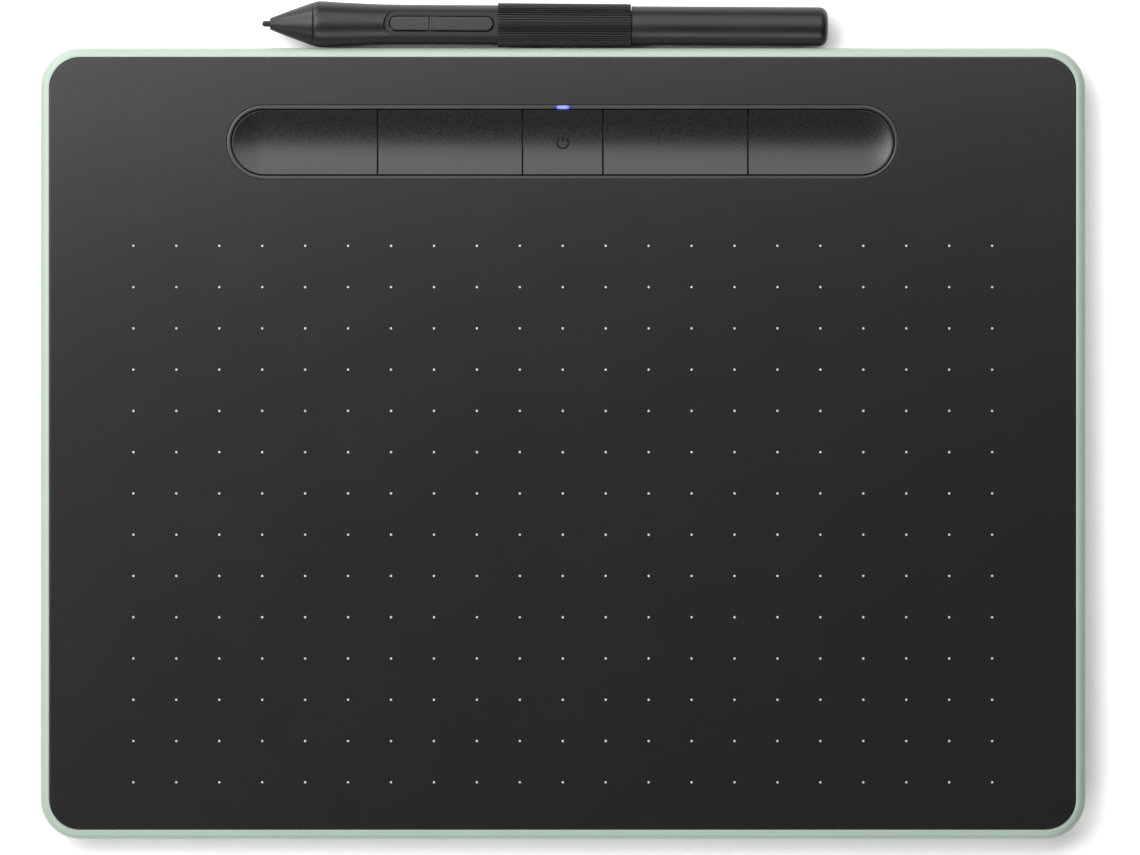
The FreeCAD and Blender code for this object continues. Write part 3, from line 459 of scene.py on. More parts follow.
class Blank:
    """A mesh on the bench, shaped in millimetres with edit-mode operators."""

    def __init__(self, name: str) -> None:
        """Takes the primitive that was just added and opens it.

        Args:
            name: the piece's name.
        """
        self.piece = bpy.context.active_object
        self.piece.name = name
        bpy.ops.object.transform_apply(location=True, rotation=True, scale=True)
        bpy.ops.object.mode_set(mode="EDIT")

    @classmethod
    def block(cls, name: str, low: Point, high: Point) -> "Blank":
        """Starts from a cube at its size and place.

        Args:
            name: the piece's name.
            low: the block's lowest corner.
            high: its highest corner.

        Returns:
            The opened blank.
        """
        put_down()
        near, far = Vector(low), Vector(high)
        bpy.ops.mesh.primitive_cube_add(size=1.0, location=(near + far) / 2, scale=far - near)
        return cls(name)

    @classmethod
    def bar(cls, name: str, radius: float, start: Point, end: Point, along: Along, sides: int = 64) -> "Blank":
        """Starts from a cylinder between two points.

        Args:
            name: the piece's name.
            radius: the bar's radius.
            start: the middle of one end.
            end: the middle of the other end.
            along: the axis that it runs along.
            sides: how many sides it has.

        Returns:
            The opened blank.
        """
        put_down()
        near, far = Vector(start), Vector(end)
        bpy.ops.mesh.primitive_cylinder_add(
            vertices=sides, radius=radius, depth=(far - near).length,
            location=(near + far) / 2, rotation=along.value,
        )
        return cls(name)

    @classmethod
    def line(cls, name: str, points: Sequence[Point]) -> "Blank":
        """Starts from a plane drawn together to one vertex, and extrudes it from point to point.

        Args:
            name: the piece's name.
            points: the line's points; a last point on the first one closes it.

        Returns:
            The opened blank with all of the line selected.
        """
        put_down()
        bpy.ops.mesh.primitive_plane_add(size=1.0, location=points[0])
        blank = cls(name)
        bpy.ops.mesh.select_mode(type="VERT")
        bpy.ops.mesh.select_all(action="SELECT")
        bpy.ops.mesh.merge(type="CENTER")
        for before, after in zip(points, points[1:]):
            blank.extrude(Vector(after) - Vector(before))
        blank.merge()
        return blank

    @classmethod
    def turned(cls, name: str, profile: Sequence[tuple[float, float]], steps: int = 96) -> "Blank":
        """Turns a profile about the X axis, as on a lathe.

        Args:
            name: the piece's name.
            profile: points as the place along X and the radius.
            steps: how many faces go round.

        Returns:
            The opened, closed blank.
        """
        blank = cls.line(name, [(along, 0.0, radius) for along, radius in profile])
        blank.spin((0.0, 0.0, 0.0), (1.0, 0.0, 0.0), 2 * math.pi, steps)
        return blank

    @classmethod
    def pill_turned(
        cls, name: str, profile: Sequence[tuple[float, float]], straight: float, middle: float, steps: int = 48
    ) -> "Blank":
        """Turns a profile half round a pill's end, draws it out to the middle and mirrors it.

        Args:
            name: the piece's name.
            profile: points as the distance from the pill's centre line and the height.
            straight: half the length of the pill's straight part.
            middle: the centre line's place along Y.
            steps: how many faces go round one end.

        Returns:
            The opened, closed blank.
        """
        blank = cls.line(name, [(straight, middle + reach, height) for reach, height in profile])
        blank.spin((straight, middle, 0.0), (0.0, 0.0, 1.0), math.pi, steps)
        blank.pick_vertices(lambda place: abs(place.x - straight) < NEAR)
        blank.extrude((-straight, 0.0, 0.0))
        blank.merge()
        blank.modify("MIRROR", merge_threshold=NEAR)
        blank.face_outwards()
        return blank

    @classmethod
    def rounded(cls, name: str, low: Point, high: Point, radius: float, segments: int = 20) -> "Blank":
        """Starts from a block and rounds its upright edges.

        Args:
            name: the piece's name.
            low: the block's lowest corner.
            high: its highest corner.
            radius: the radius of the four corners.
            segments: how many faces round a corner.

        Returns:
            The opened blank.
        """
        blank = cls.block(name, low, high)
        blank.pick_edges(lambda a, b: abs(a.z - b.z) > NEAR)
        blank.bevel(radius, segments)
        blank.merge()
        return blank

    def copy(self, name: str) -> "Blank":
        """Gives a copy with its own mesh.

        Args:
            name: the copy's name.

        Returns:
            The opened copy.
        """
        take(self.piece)
        bpy.ops.object.duplicate(linked=False)
        return Blank(name)

    def scrap(self) -> None:
        """Throws the piece away once its copies are made."""
        put_down()
        bpy.data.objects.remove(self.piece)

    def pick_vertices(self, test: Callable[[Vector], bool]) -> None:
        """Selects only the vertices whose place passes the test.

        Args:
            test: tells from its place whether a vertex is wanted.
        """
        mesh = self._cleared("VERT")
        for vertex in mesh.verts:
            vertex.select_set(test(vertex.co))
        self._shown(mesh)

    def pick_edges(self, test: Callable[[Vector, Vector], bool]) -> None:
        """Selects only the edges whose two ends pass the test.

        Args:
            test: tells from its two ends whether an edge is wanted.
        """
        mesh = self._cleared("EDGE")
        for edge in mesh.edges:
            edge.select_set(test(edge.verts[0].co, edge.verts[1].co))
        self._shown(mesh)

    def pick_faces(self, test: Callable[[Vector, Vector], bool]) -> None:
        """Selects only the faces whose middle and normal pass the test.

        Args:
            test: tells from its middle and normal whether a face is wanted.
        """
        mesh = self._cleared("FACE")
        mesh.normal_update()
        for face in mesh.faces:
            face.select_set(test(face.calc_center_median(), face.normal))
        self._shown(mesh)

    def pick_all(self) -> None:
        """Selects the whole mesh."""
        bpy.ops.mesh.select_mode(type="VERT")
        bpy.ops.mesh.select_all(action="SELECT")

    def _cleared(self, mode: str) -> bmesh.types.BMesh:
        """Sets the select mode and lets go of the whole mesh.

        Args:
            mode: VERT, EDGE or FACE.

        Returns:
            The mesh with nothing selected.
        """
        bpy.ops.mesh.select_mode(type=mode)
        bpy.ops.mesh.select_all(action="DESELECT")
        return bmesh.from_edit_mesh(self.piece.data)

    def _shown(self, mesh: bmesh.types.BMesh) -> None:
        """Passes a selection made in code back to the editor."""
        mesh.select_flush_mode()
        bmesh.update_edit_mesh(self.piece.data)

    def extrude(self, shift: Point) -> None:
        """Extrudes what is selected by a shift."""
        bpy.ops.mesh.extrude_region_move(TRANSFORM_OT_translate={"value": Vector(shift)})

    def move(self, shift: Point) -> None:
        """Moves what is selected by a shift."""
        bpy.ops.transform.translate(value=Vector(shift))

    def resize(self, factors: Point, centre: Point) -> None:
        """Scales what is selected about a point."""
        bpy.ops.transform.resize(value=Vector(factors), center_override=Vector(centre))

    def inset(self, width: float) -> None:
        """Insets the selected faces."""
        bpy.ops.mesh.inset(thickness=width, depth=0.0, use_even_offset=True)

    def bevel(self, width: float, segments: int) -> None:
        """Rounds the selected edges."""
        bpy.ops.mesh.bevel(
            offset=width, offset_type="OFFSET", segments=segments, affect="EDGES", clamp_overlap=False
        )

    def spin(self, centre: Point, axis: Point, angle: float, steps: int) -> None:
        """Turns the whole mesh about an axis and closes the result.

        Args:
            centre: a point on the axis.
            axis: its direction.
            angle: how far to turn, in radians.
            steps: how many faces that makes.
        """
        self.pick_all()
        bpy.ops.mesh.spin(steps=steps, angle=angle, center=centre, axis=axis)
        self.merge()
        self.face_outwards()

    def part(self, place: float, keep_left: bool) -> None:
        """Cuts the mesh at a place along X, keeps one side and closes the cut.

        Args:
            place: where the cut is.
            keep_left: whether the side with lower X stays.
        """
        self.pick_all()
        bpy.ops.mesh.bisect(
            plane_co=(place, 0.0, 0.0), plane_no=(1.0, 0.0, 0.0), use_fill=True,
            clear_outer=keep_left, clear_inner=not keep_left,
        )

    def merge(self) -> None:
        """Merges vertices that lie on each other."""
        self.pick_all()
        bpy.ops.mesh.remove_doubles(threshold=NEAR)

    def face_outwards(self) -> None:
        """Turns all faces outwards."""
        self.pick_all()
        bpy.ops.mesh.normals_make_consistent(inside=False)

    def modify(self, kind: str, **settings: object) -> None:
        """Adds a modifier with those settings and applies it.

        Args:
            kind: the modifier's type.
            settings: the values that differ from its defaults.
        """
        take(self.piece)
        bpy.ops.object.modifier_add(type=kind)
        modifier = self.piece.modifiers[-1]
        for key, value in settings.items():
            setattr(modifier, key, value)
        bpy.ops.object.modifier_apply(modifier=modifier.name)
        bpy.ops.object.mode_set(mode="EDIT")

    def cut(self, tool: "Blank") -> None:
        """Takes a tool's shape out of the piece and throws the tool away.

        Args:
            tool: what is taken out.
        """
        put_down()
        self.modify("BOOLEAN", operation="DIFFERENCE", solver="EXACT", object=tool.piece)
        bpy.data.objects.remove(tool.piece)
        self.merge()

    def join(self, other: "Blank") -> None:
        """Adds another blank's mesh to this piece as a part of its own.

        Args:
            other: the blank that is added.
        """
        put_down()
        other.piece.select_set(True)
        self.piece.select_set(True)
        bpy.context.view_layer.objects.active = self.piece
        bpy.ops.object.join()
        bpy.ops.object.mode_set(mode="EDIT")

    def finish(
        self, finish: Finish, body: str, replaced: Sequence[str] = (), laid: Matrix | None = None,
        sharp: float = 30.0,
    ) -> bpy.types.Object:
        """Puts the piece in place, smooths it, and gives it its finish and its body.

        Args:
            finish: what it is made of and looks like.
            body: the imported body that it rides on.
            replaced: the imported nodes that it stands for.
            laid: its place in millimetres, if it was shaped elsewhere.
            sharp: the angle in degrees above which an edge stays sharp.

        Returns:
            The finished object, at the origin.
        """
        take(self.piece)
        self.piece.matrix_world = Matrix.Scale(MM, 4) @ (laid or Matrix.Identity(4))
        bpy.ops.object.transform_apply(location=True, rotation=True, scale=True)
        bpy.ops.object.shade_smooth_by_angle(angle=math.radians(sharp))
        bpy.ops.object.modifier_add(type="WEIGHTED_NORMAL")
        self.piece.modifiers[-1].keep_sharp = True
        bpy.ops.object.modifier_apply(modifier=self.piece.modifiers[-1].name)
        finish.dress(self.piece)
        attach(self.piece, body)
        if replaced:
            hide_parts(*replaced)
        LOG.info("%s: %d faces on %s", self.piece.name, len(self.piece.data.polygons), body)
        put_down()
        return self.piece


# ---- tablet


@dataclass
class Case:
    """Green shell: floor, walls and the rim round the panel, with its feet and charging socket."""

    width: float = 264.0
    depth: float = 199.8
    bottom: float = 0.8
    top: float = 8.8
    corner: float = 10.2
    rim: float = 2.43
    rim_rounding: float = 2.1
    rim_inner_rounding: float = 0.28
    bottom_rounding: float = 4.5
    ledge: float = 1.5
    panel_floor: float = 7.2
    inner_floor: float = 2.4
    foot_radius: float = 6.0
    foot_recess: float = 0.6
    foot_clearance: float = 0.15
    foot_rounding: float = 0.3
    foot_margin: float = 1.2
    foot_groove: float = 0.5
    foot_groove_depth: float = 0.25
    foot_places: tuple[tuple[str, float, float], ...] = (
        ("front_left", -120.0, -85.9), ("front_right", 120.0, -85.9),
        ("rear_left", -120.0, 85.9), ("rear_right", 120.0, 85.9),
    )
    socket_middle: float = 74.0
    socket_low: float = 4.2
    socket_width: float = 7.5
    socket_height: float = 2.55
    socket_mouth: float = -131.3
    socket_length: float = 6.5
    socket_wall: float = 0.3
    socket_clearance: float = 0.25
    tongue_setback: float = 0.6
    tongue_half: float = 2.1
    tongue_half_thickness: float = 0.325
    tongue_rounding: float = 0.2

    def build(self) -> None:
        """Makes the shell, its feet and its socket."""
        self.shell()
        pad = self.foot()
        for name, x, y in self.foot_places:
            foot = pad.copy("foot_pad_" + name)
            foot.pick_all()
            foot.move((x, y, 0.0))
            foot.finish(FOOT, Body.TABLET.value, ["foot_" + name])
        pad.scrap()
        self.socket()

    def shell(self) -> bpy.types.Object:
        """Rounds a block, sinks the panel's pocket and the inner space, and cuts the openings.

        Returns:
            The finished shell.
        """
        half_x, half_y = self.width / 2, self.depth / 2
        shell = Blank.rounded(
            "case_shell", (-half_x, -half_y, self.bottom), (half_x, half_y, self.top), self.corner, 24
        )
        shell.pick_edges(lambda a, b: max(a.z, b.z) < self.bottom + NEAR)
        shell.bevel(self.bottom_rounding, 10)
        shell.pick_edges(lambda a, b: min(a.z, b.z) > self.top - NEAR)
        shell.bevel(self.rim_rounding, 8)
        shell.pick_faces(lambda middle, normal: middle.z > self.top - NEAR and normal.z > 0.99)
        shell.inset(self.rim - self.rim_rounding)
        shell.extrude((0.0, 0.0, self.panel_floor - self.top))
        shell.inset(self.ledge)
        shell.extrude((0.0, 0.0, self.inner_floor - self.panel_floor))
        inner = half_x - self.rim
        shell.pick_edges(
            lambda a, b: min(a.z, b.z) > self.top - NEAR
            and max(abs(a.x), abs(b.x)) < inner + NEAR and max(abs(a.y), abs(b.y)) < half_y - self.rim + NEAR
        )
        shell.bevel(self.rim_inner_rounding, 3)
        for _, x, y in self.foot_places:
            shell.cut(Blank.bar(
                "foot_seat", self.foot_radius + self.foot_clearance, (x, y, self.bottom - 1.0),
                (x, y, self.bottom + self.foot_recess), Along.Z,
            ))
        shell.cut(self.socket_block("socket_window", self.socket_clearance, -half_x - 1.0, -half_x + 6.0))
        return shell.finish(GREEN_SHELL, Body.TABLET.value, ["bottom_case"])

    def socket_block(self, name: str, grown: float, start: float, end: float) -> Blank:
        """Makes a bar with the socket's rounded outline.

        Args:
            name: the piece's name.
            grown: how much it is larger than the socket on each side.
            start: its left end.
            end: its right end.

        Returns:
            The opened blank.
        """
        half = self.socket_width / 2 + grown
        low, high = self.socket_low - grown, self.socket_low + self.socket_height + grown
        block = Blank.block(
            name, (start, self.socket_middle - half, low), (end, self.socket_middle + half, high)
        )
        block.pick_edges(lambda a, b: abs(a.x - b.x) > NEAR)
        block.bevel((high - low) * 0.48, 10)
        return block

    def foot(self) -> Blank:
        """Makes one rubber foot over the origin, with a ring groove in its face.

        Returns:
            The opened foot, which the four are copied from.
        """
        foot = Blank.bar(
            "foot_pad", self.foot_radius, (0.0, 0.0, 0.0), (0.0, 0.0, self.bottom + self.foot_recess), Along.Z
        )
        foot.pick_edges(lambda a, b: max(a.z, b.z) < NEAR)
        foot.bevel(self.foot_rounding, 4)
        foot.pick_faces(lambda middle, normal: normal.z < -0.99)
        foot.inset(self.foot_margin)
        foot.inset(self.foot_groove)
        outer = self.foot_radius - self.foot_rounding - self.foot_margin
        inner = outer - self.foot_groove
        foot.pick_faces(
            lambda middle, normal: normal.z < -0.99 and inner < math.hypot(middle.x, middle.y) < outer
        )
        foot.extrude((0.0, 0.0, self.foot_groove_depth))
        return foot

    def socket(self) -> None:
        """Makes the socket's drawn shell and the tongue inside it."""
        mouth, end = self.socket_mouth, self.socket_mouth + self.socket_length
        shell = self.socket_block("socket_shell", 0.0, mouth, end)
        shell.pick_faces(lambda middle, normal: normal.x < -0.99)
        shell.inset(self.socket_wall)
        shell.extrude((self.socket_length - self.socket_wall, 0.0, 0.0))
        shell.finish(SOCKET, Body.TABLET.value, ["charging_socket_shell"])
        y, z = self.socket_middle, self.socket_low + self.socket_height / 2
        front, half, thick = mouth + self.tongue_setback, self.tongue_half, self.tongue_half_thickness
        tongue = Blank.block(
            "socket_tongue", (front, y - half, z - thick), (end - self.socket_wall, y + half, z + thick)
        )
        tongue.pick_edges(lambda a, b: max(a.x, b.x) < front + NEAR)
        tongue.bevel(self.tongue_rounding, 3)
        tongue.finish(CHIP, Body.TABLET.value, ["charging_socket_tongue"])


@dataclass
class Panel:
    """Black drawing surface with its printed dots."""

    width: float = 258.94
    depth: float = 194.74
    low: float = 7.2
    top: float = 8.8
    corner: float = 7.67
    rounding: float = 0.25
    tray_middle: float = 76.0
    tray_straight: float = 75.4
    opening: float = 9.45
    opening_rounding: float = 0.12
    dot_columns: int = 21
    dot_rows: int = 14
    dot_pitch: tuple[float, float] = (10.835, 10.414)
    dot_middle: float = -17.8
    dot_radius: float = 0.29
    dot_height: float = 0.012

    def build(self) -> None:
        """Makes the surface and prints the dots on it."""
        self.surface()
        self.dots()

    def surface(self) -> bpy.types.Object:
        """Rounds a plate and cuts the tray's opening.

        Returns:
            The finished surface.
        """
        half_x, half_y = self.width / 2, self.depth / 2
        plate = Blank.rounded(
            "drawing_panel", (-half_x, -half_y, self.low), (half_x, half_y, self.top), self.corner, 20
        )
        plate.pick_edges(lambda a, b: min(a.z, b.z) > self.top - NEAR)
        plate.bevel(self.rounding, 3)
        plate.cut(self.opening_block())
        plate.pick_edges(
            lambda a, b: min(a.z, b.z) > self.top - NEAR
            and max(abs(a.y - self.tray_middle), abs(b.y - self.tray_middle)) < self.opening + NEAR
            and max(abs(a.x), abs(b.x)) < self.tray_straight + self.opening + NEAR
        )
        plate.bevel(self.opening_rounding, 2)
        return plate.finish(PANEL, Body.TABLET.value, ["top_panel"])

    def opening_block(self) -> Blank:
        """Makes the tool that cuts the tray's opening.

        Returns:
            The opened tool.
        """
        end = self.tray_straight + self.opening
        front, rear = self.tray_middle - self.opening, self.tray_middle + self.opening
        return Blank.rounded(
            "opening_tool", (-end, front, self.low - 1.0), (end, rear, self.top + 1.0),
            self.opening, 40,
        )

    def dots(self) -> bpy.types.Object:
        """Prints one dot and repeats it over the drawing area.

        Returns:
            The finished grid of dots.
        """
        x = -(self.dot_columns - 1) / 2 * self.dot_pitch[0]
        y = self.dot_middle - (self.dot_rows - 1) / 2 * self.dot_pitch[1]
        start, end = (x, y, self.top - self.dot_height), (x, y, self.top + self.dot_height)
        dot = Blank.bar("printed_dots", self.dot_radius, start, end, Along.Z, 16)
        for count, shift in (
            (self.dot_columns, (self.dot_pitch[0], 0.0, 0.0)), (self.dot_rows, (0.0, self.dot_pitch[1], 0.0))
        ):
            dot.modify(
                "ARRAY", count=count, use_relative_offset=False, use_constant_offset=True,
                constant_offset_displace=shift,
            )
        return dot.finish(PRINT, Body.TABLET.value)


@dataclass
class KeyTray:
    """Row of five dished keys in a ring, with the status light and the power symbol."""

    middle: float = 76.0
    straight: float = 75.4
    half_width: float = 8.15
    gap: float = 0.3
    ring_width: float = 0.9
    ring_top: float = 8.75
    ring_low: float = 6.0
    flange_top: float = 7.1
    flange_width: float = 3.65
    edge_drop: float = 0.45
    dish: float = 1.2
    lip: float = 0.16
    key_low: float = 5.0
    key_flange_top: float = 5.9
    key_flange_reach: float = 0.95
    pocket_wall: float = 1.15
    pocket_top: float = 6.0
    plunger_radius: float = 1.5
    plunger_low: float = 4.78
    cut_rounding: float = 0.06
    cut_inset: float = 0.05
    notch_half: float = 2.9
    board_top: float = 4.2
    dome_radius: float = 2.5
    dome_height: float = 0.55
    dome_wall: float = 0.08
    dome_keep: float = 0.28
    light_half: float = 1.8
    light_depth: float = 0.8
    light_low: float = 4.9
    symbol_radius: float = 1.45
    symbol_line: float = 0.2
    keys: tuple[tuple[str, float, float], ...] = (
        ("express_key_outer_left", -83.55, -46.9), ("express_key_inner_left", -46.6, -10.3),
        ("power_key", -10.0, 10.0), ("express_key_inner_right", 10.3, 46.6),
        ("express_key_outer_right", 46.9, 83.55),
    )

    def build(self) -> None:
        """Makes the ring, the keys with their domes, the symbol and the light."""
        self.ring()
        bar, cap = self.key_bar(), self.dome_cap()
        for name, left, right in self.keys:
            self.key(bar, name, left, right)
            self.dome(cap, name, self.key_centre(left, right))
        bar.scrap()
        cap.scrap()
        self.symbol()
        self.light()

    def ring(self) -> bpy.types.Object:
        """Makes the ring and its hidden flange, with the gap that the light fills.

        Returns:
            The finished ring.
        """
        inner = self.half_width + self.gap
        outer, reach, soft = inner + self.ring_width, inner + self.ring_width + self.flange_width, 0.09
        ring = Blank.pill_turned("tray_ring", [
            (inner, self.ring_low), (reach, self.ring_low), (reach, self.flange_top),
            (outer, self.flange_top), (outer, self.ring_top - soft), (outer - soft / 3, self.ring_top - soft / 3),
            (outer - soft, self.ring_top), (inner + soft, self.ring_top),
            (inner + soft / 3, self.ring_top - soft / 3), (inner, self.ring_top - soft), (inner, self.ring_low),
        ], self.straight, self.middle)
        half = self.light_half + 0.05
        ring.cut(Blank.block(
            "light_gap", (-half, self.middle + inner - self.gap, self.ring_low - 1.0),
            (half, self.middle + outer + 0.05, self.ring_top + 1.0),
        ))
        return ring.finish(RING, Body.TABLET.value, ["key_frame"])

    def surface_height(self, reach: float) -> float:
        """Gives the height of the dish at a distance from the centre line."""
        rise = (self.half_width ** 2 + self.dish ** 2) / (2 * self.dish)
        return self.ring_top - self.edge_drop - self.dish + rise - math.sqrt(rise ** 2 - reach ** 2)

    def key_bar(self) -> Blank:
        """Makes all five keys as one bar: dish, rounded lip, flange and hollow underside.

        Returns:
            The opened bar, which the keys are cut from.
        """
        edge = self.half_width - self.lip
        steps = 14
        dish = [(edge * step / steps, self.surface_height(edge * step / steps)) for step in range(steps + 1)]
        shoulder = self.surface_height(edge) - self.lip
        lip = [
            (edge + self.lip * math.sin(turn), shoulder + self.lip * math.cos(turn))
            for turn in (math.radians(22.5 * step) for step in range(1, 5))
        ]
        reach, wall = self.half_width + self.key_flange_reach, self.half_width - self.pocket_wall
        under = [
            (self.half_width, self.key_flange_top), (reach, self.key_flange_top), (reach, self.key_low),
            (wall, self.key_low), (wall, self.pocket_top), (0.0, self.pocket_top),
        ]
        return Blank.pill_turned("key_bar", dish + lip + under, self.straight, self.middle)

    def key(self, bar: Blank, name: str, left: float, right: float) -> bpy.types.Object:
        """Cuts one key from the bar, softens the cut edges and adds its plunger.

        Args:
            bar: the bar of all keys.
            name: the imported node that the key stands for.
            left: the key's left end.
            right: its right end.

        Returns:
            The finished key.
        """
        key = bar.copy(name.replace("key", "keycap"))
        cuts = []
        if left > -self.straight:
            cuts.append(left + self.cut_inset)
            key.part(cuts[-1], keep_left=False)
        if right < self.straight:
            cuts.append(right - self.cut_inset)
            key.part(cuts[-1], keep_left=True)
        low = self.pocket_top + 0.4
        for cut in cuts:
            key.pick_edges(lambda a, b, cut=cut: max(abs(a.x - cut), abs(b.x - cut)) < NEAR and min(a.z, b.z) > low)
            key.bevel(self.cut_rounding, 3)
        key.face_outwards()
        centre = self.key_centre(left, right)
        key.join(Blank.bar(
            "plunger", self.plunger_radius, (centre, self.middle, self.plunger_low),
            (centre, self.middle, self.pocket_top + 0.2), Along.Z, 24,
        ))
        if name == "power_key":
            half, rear = self.notch_half, self.middle + self.half_width
            key.cut(Blank.block(
                "lamp_notch", (-half, rear, self.key_low - 1.0), (half, rear + 2.0, self.key_flange_top + 0.1)
            ))
        return key.finish(KEY, name + "_body", [name])

    def key_centre(self, left: float, right: float) -> float:
        """Gives where a key's plunger and dome are along X."""
        return (left + right) / 2

    def arch(self, radius: float, height: float, shares: Sequence[float]) -> list[tuple[float, float]]:
        """Gives points on a dome's curve, from its distance from the middle and its height."""
        return [(radius * share, self.board_top + height * (1 - share ** 2)) for share in shares]

    def dome_cap(self) -> Blank:
        """Turns one snap dome in the middle of the tray.

        Returns:
            The opened dome, which all five are copied from.
        """
        shares = [step / 8 for step in range(9)]
        outside = self.arch(self.dome_radius, self.dome_height, shares)
        inside = self.arch(self.dome_radius - self.dome_wall, self.dome_height - self.dome_wall, shares[::-1])
        cap = Blank.line("dome_cap", [(reach, self.middle, level) for reach, level in outside + inside])
        cap.spin((0.0, self.middle, 0.0), (0.0, 0.0, 1.0), 2 * math.pi, 32)
        return cap

    def dome(self, cap: Blank, name: str, centre: float) -> bpy.types.Object:
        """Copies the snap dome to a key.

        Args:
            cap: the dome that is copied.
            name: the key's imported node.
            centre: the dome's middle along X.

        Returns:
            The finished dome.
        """
        dome = cap.copy("snap_dome_" + name)
        dome.pick_all()
        dome.move((centre, 0.0, 0.0))
        piece = dome.finish(INNER_FINISHES["dome_steel"], Body.TABLET.value, ["dome_" + name])
        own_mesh(piece)
        return piece

    def symbol(self) -> bpy.types.Object:
        """Makes the power symbol: an open ring with a bar in its gap, just proud of the dish, whose darker black is
        painted shade standing in for a debossed groove.

        Returns:
            The finished symbol.
        """
        height = self.surface_height(self.symbol_radius)
        put_down()
        bpy.ops.mesh.primitive_torus_add(
            major_radius=self.symbol_radius, minor_radius=self.symbol_line, major_segments=48,
            minor_segments=8, location=(0.0, self.middle, height),
        )
        ring = Blank("power_symbol")
        ring.pick_all()
        ring.resize((1.0, 1.0, 0.25), (0.0, self.middle, height))
        ring.pick_vertices(
            lambda place: place.y > self.middle and abs(place.x) < 3.2 * self.symbol_line
        )
        bpy.ops.mesh.delete(type="VERT")
        ring.pick_all()
        bpy.ops.mesh.fill_holes(sides=0)
        half = self.symbol_line
        bar = Blank.block(
            "symbol_bar", (-half, self.middle + 0.35, height - half / 4),
            (half, self.middle + self.symbol_radius + 0.2, height + half / 4),
        )
        ring.join(bar)
        ring.face_outwards()
        return ring.finish(SYMBOL_PAINTED_SHADE, "power_key_body")

    def light(self) -> bpy.types.Object:
        """Makes the status light's clear strip.

        Returns:
            The finished strip.
        """
        low = self.middle + self.half_width + self.gap + 0.05
        strip = Blank.block(
            "status_light", (-self.light_half, low, self.light_low),
            (self.light_half, low + self.light_depth, self.ring_top),
        )
        strip.pick_edges(lambda a, b: min(a.z, b.z) > self.ring_top - NEAR)
        strip.bevel(0.12, 3)
        return strip.finish(WINDOW, Body.TABLET.value, ["status_light_pipe"])


# ---- pen


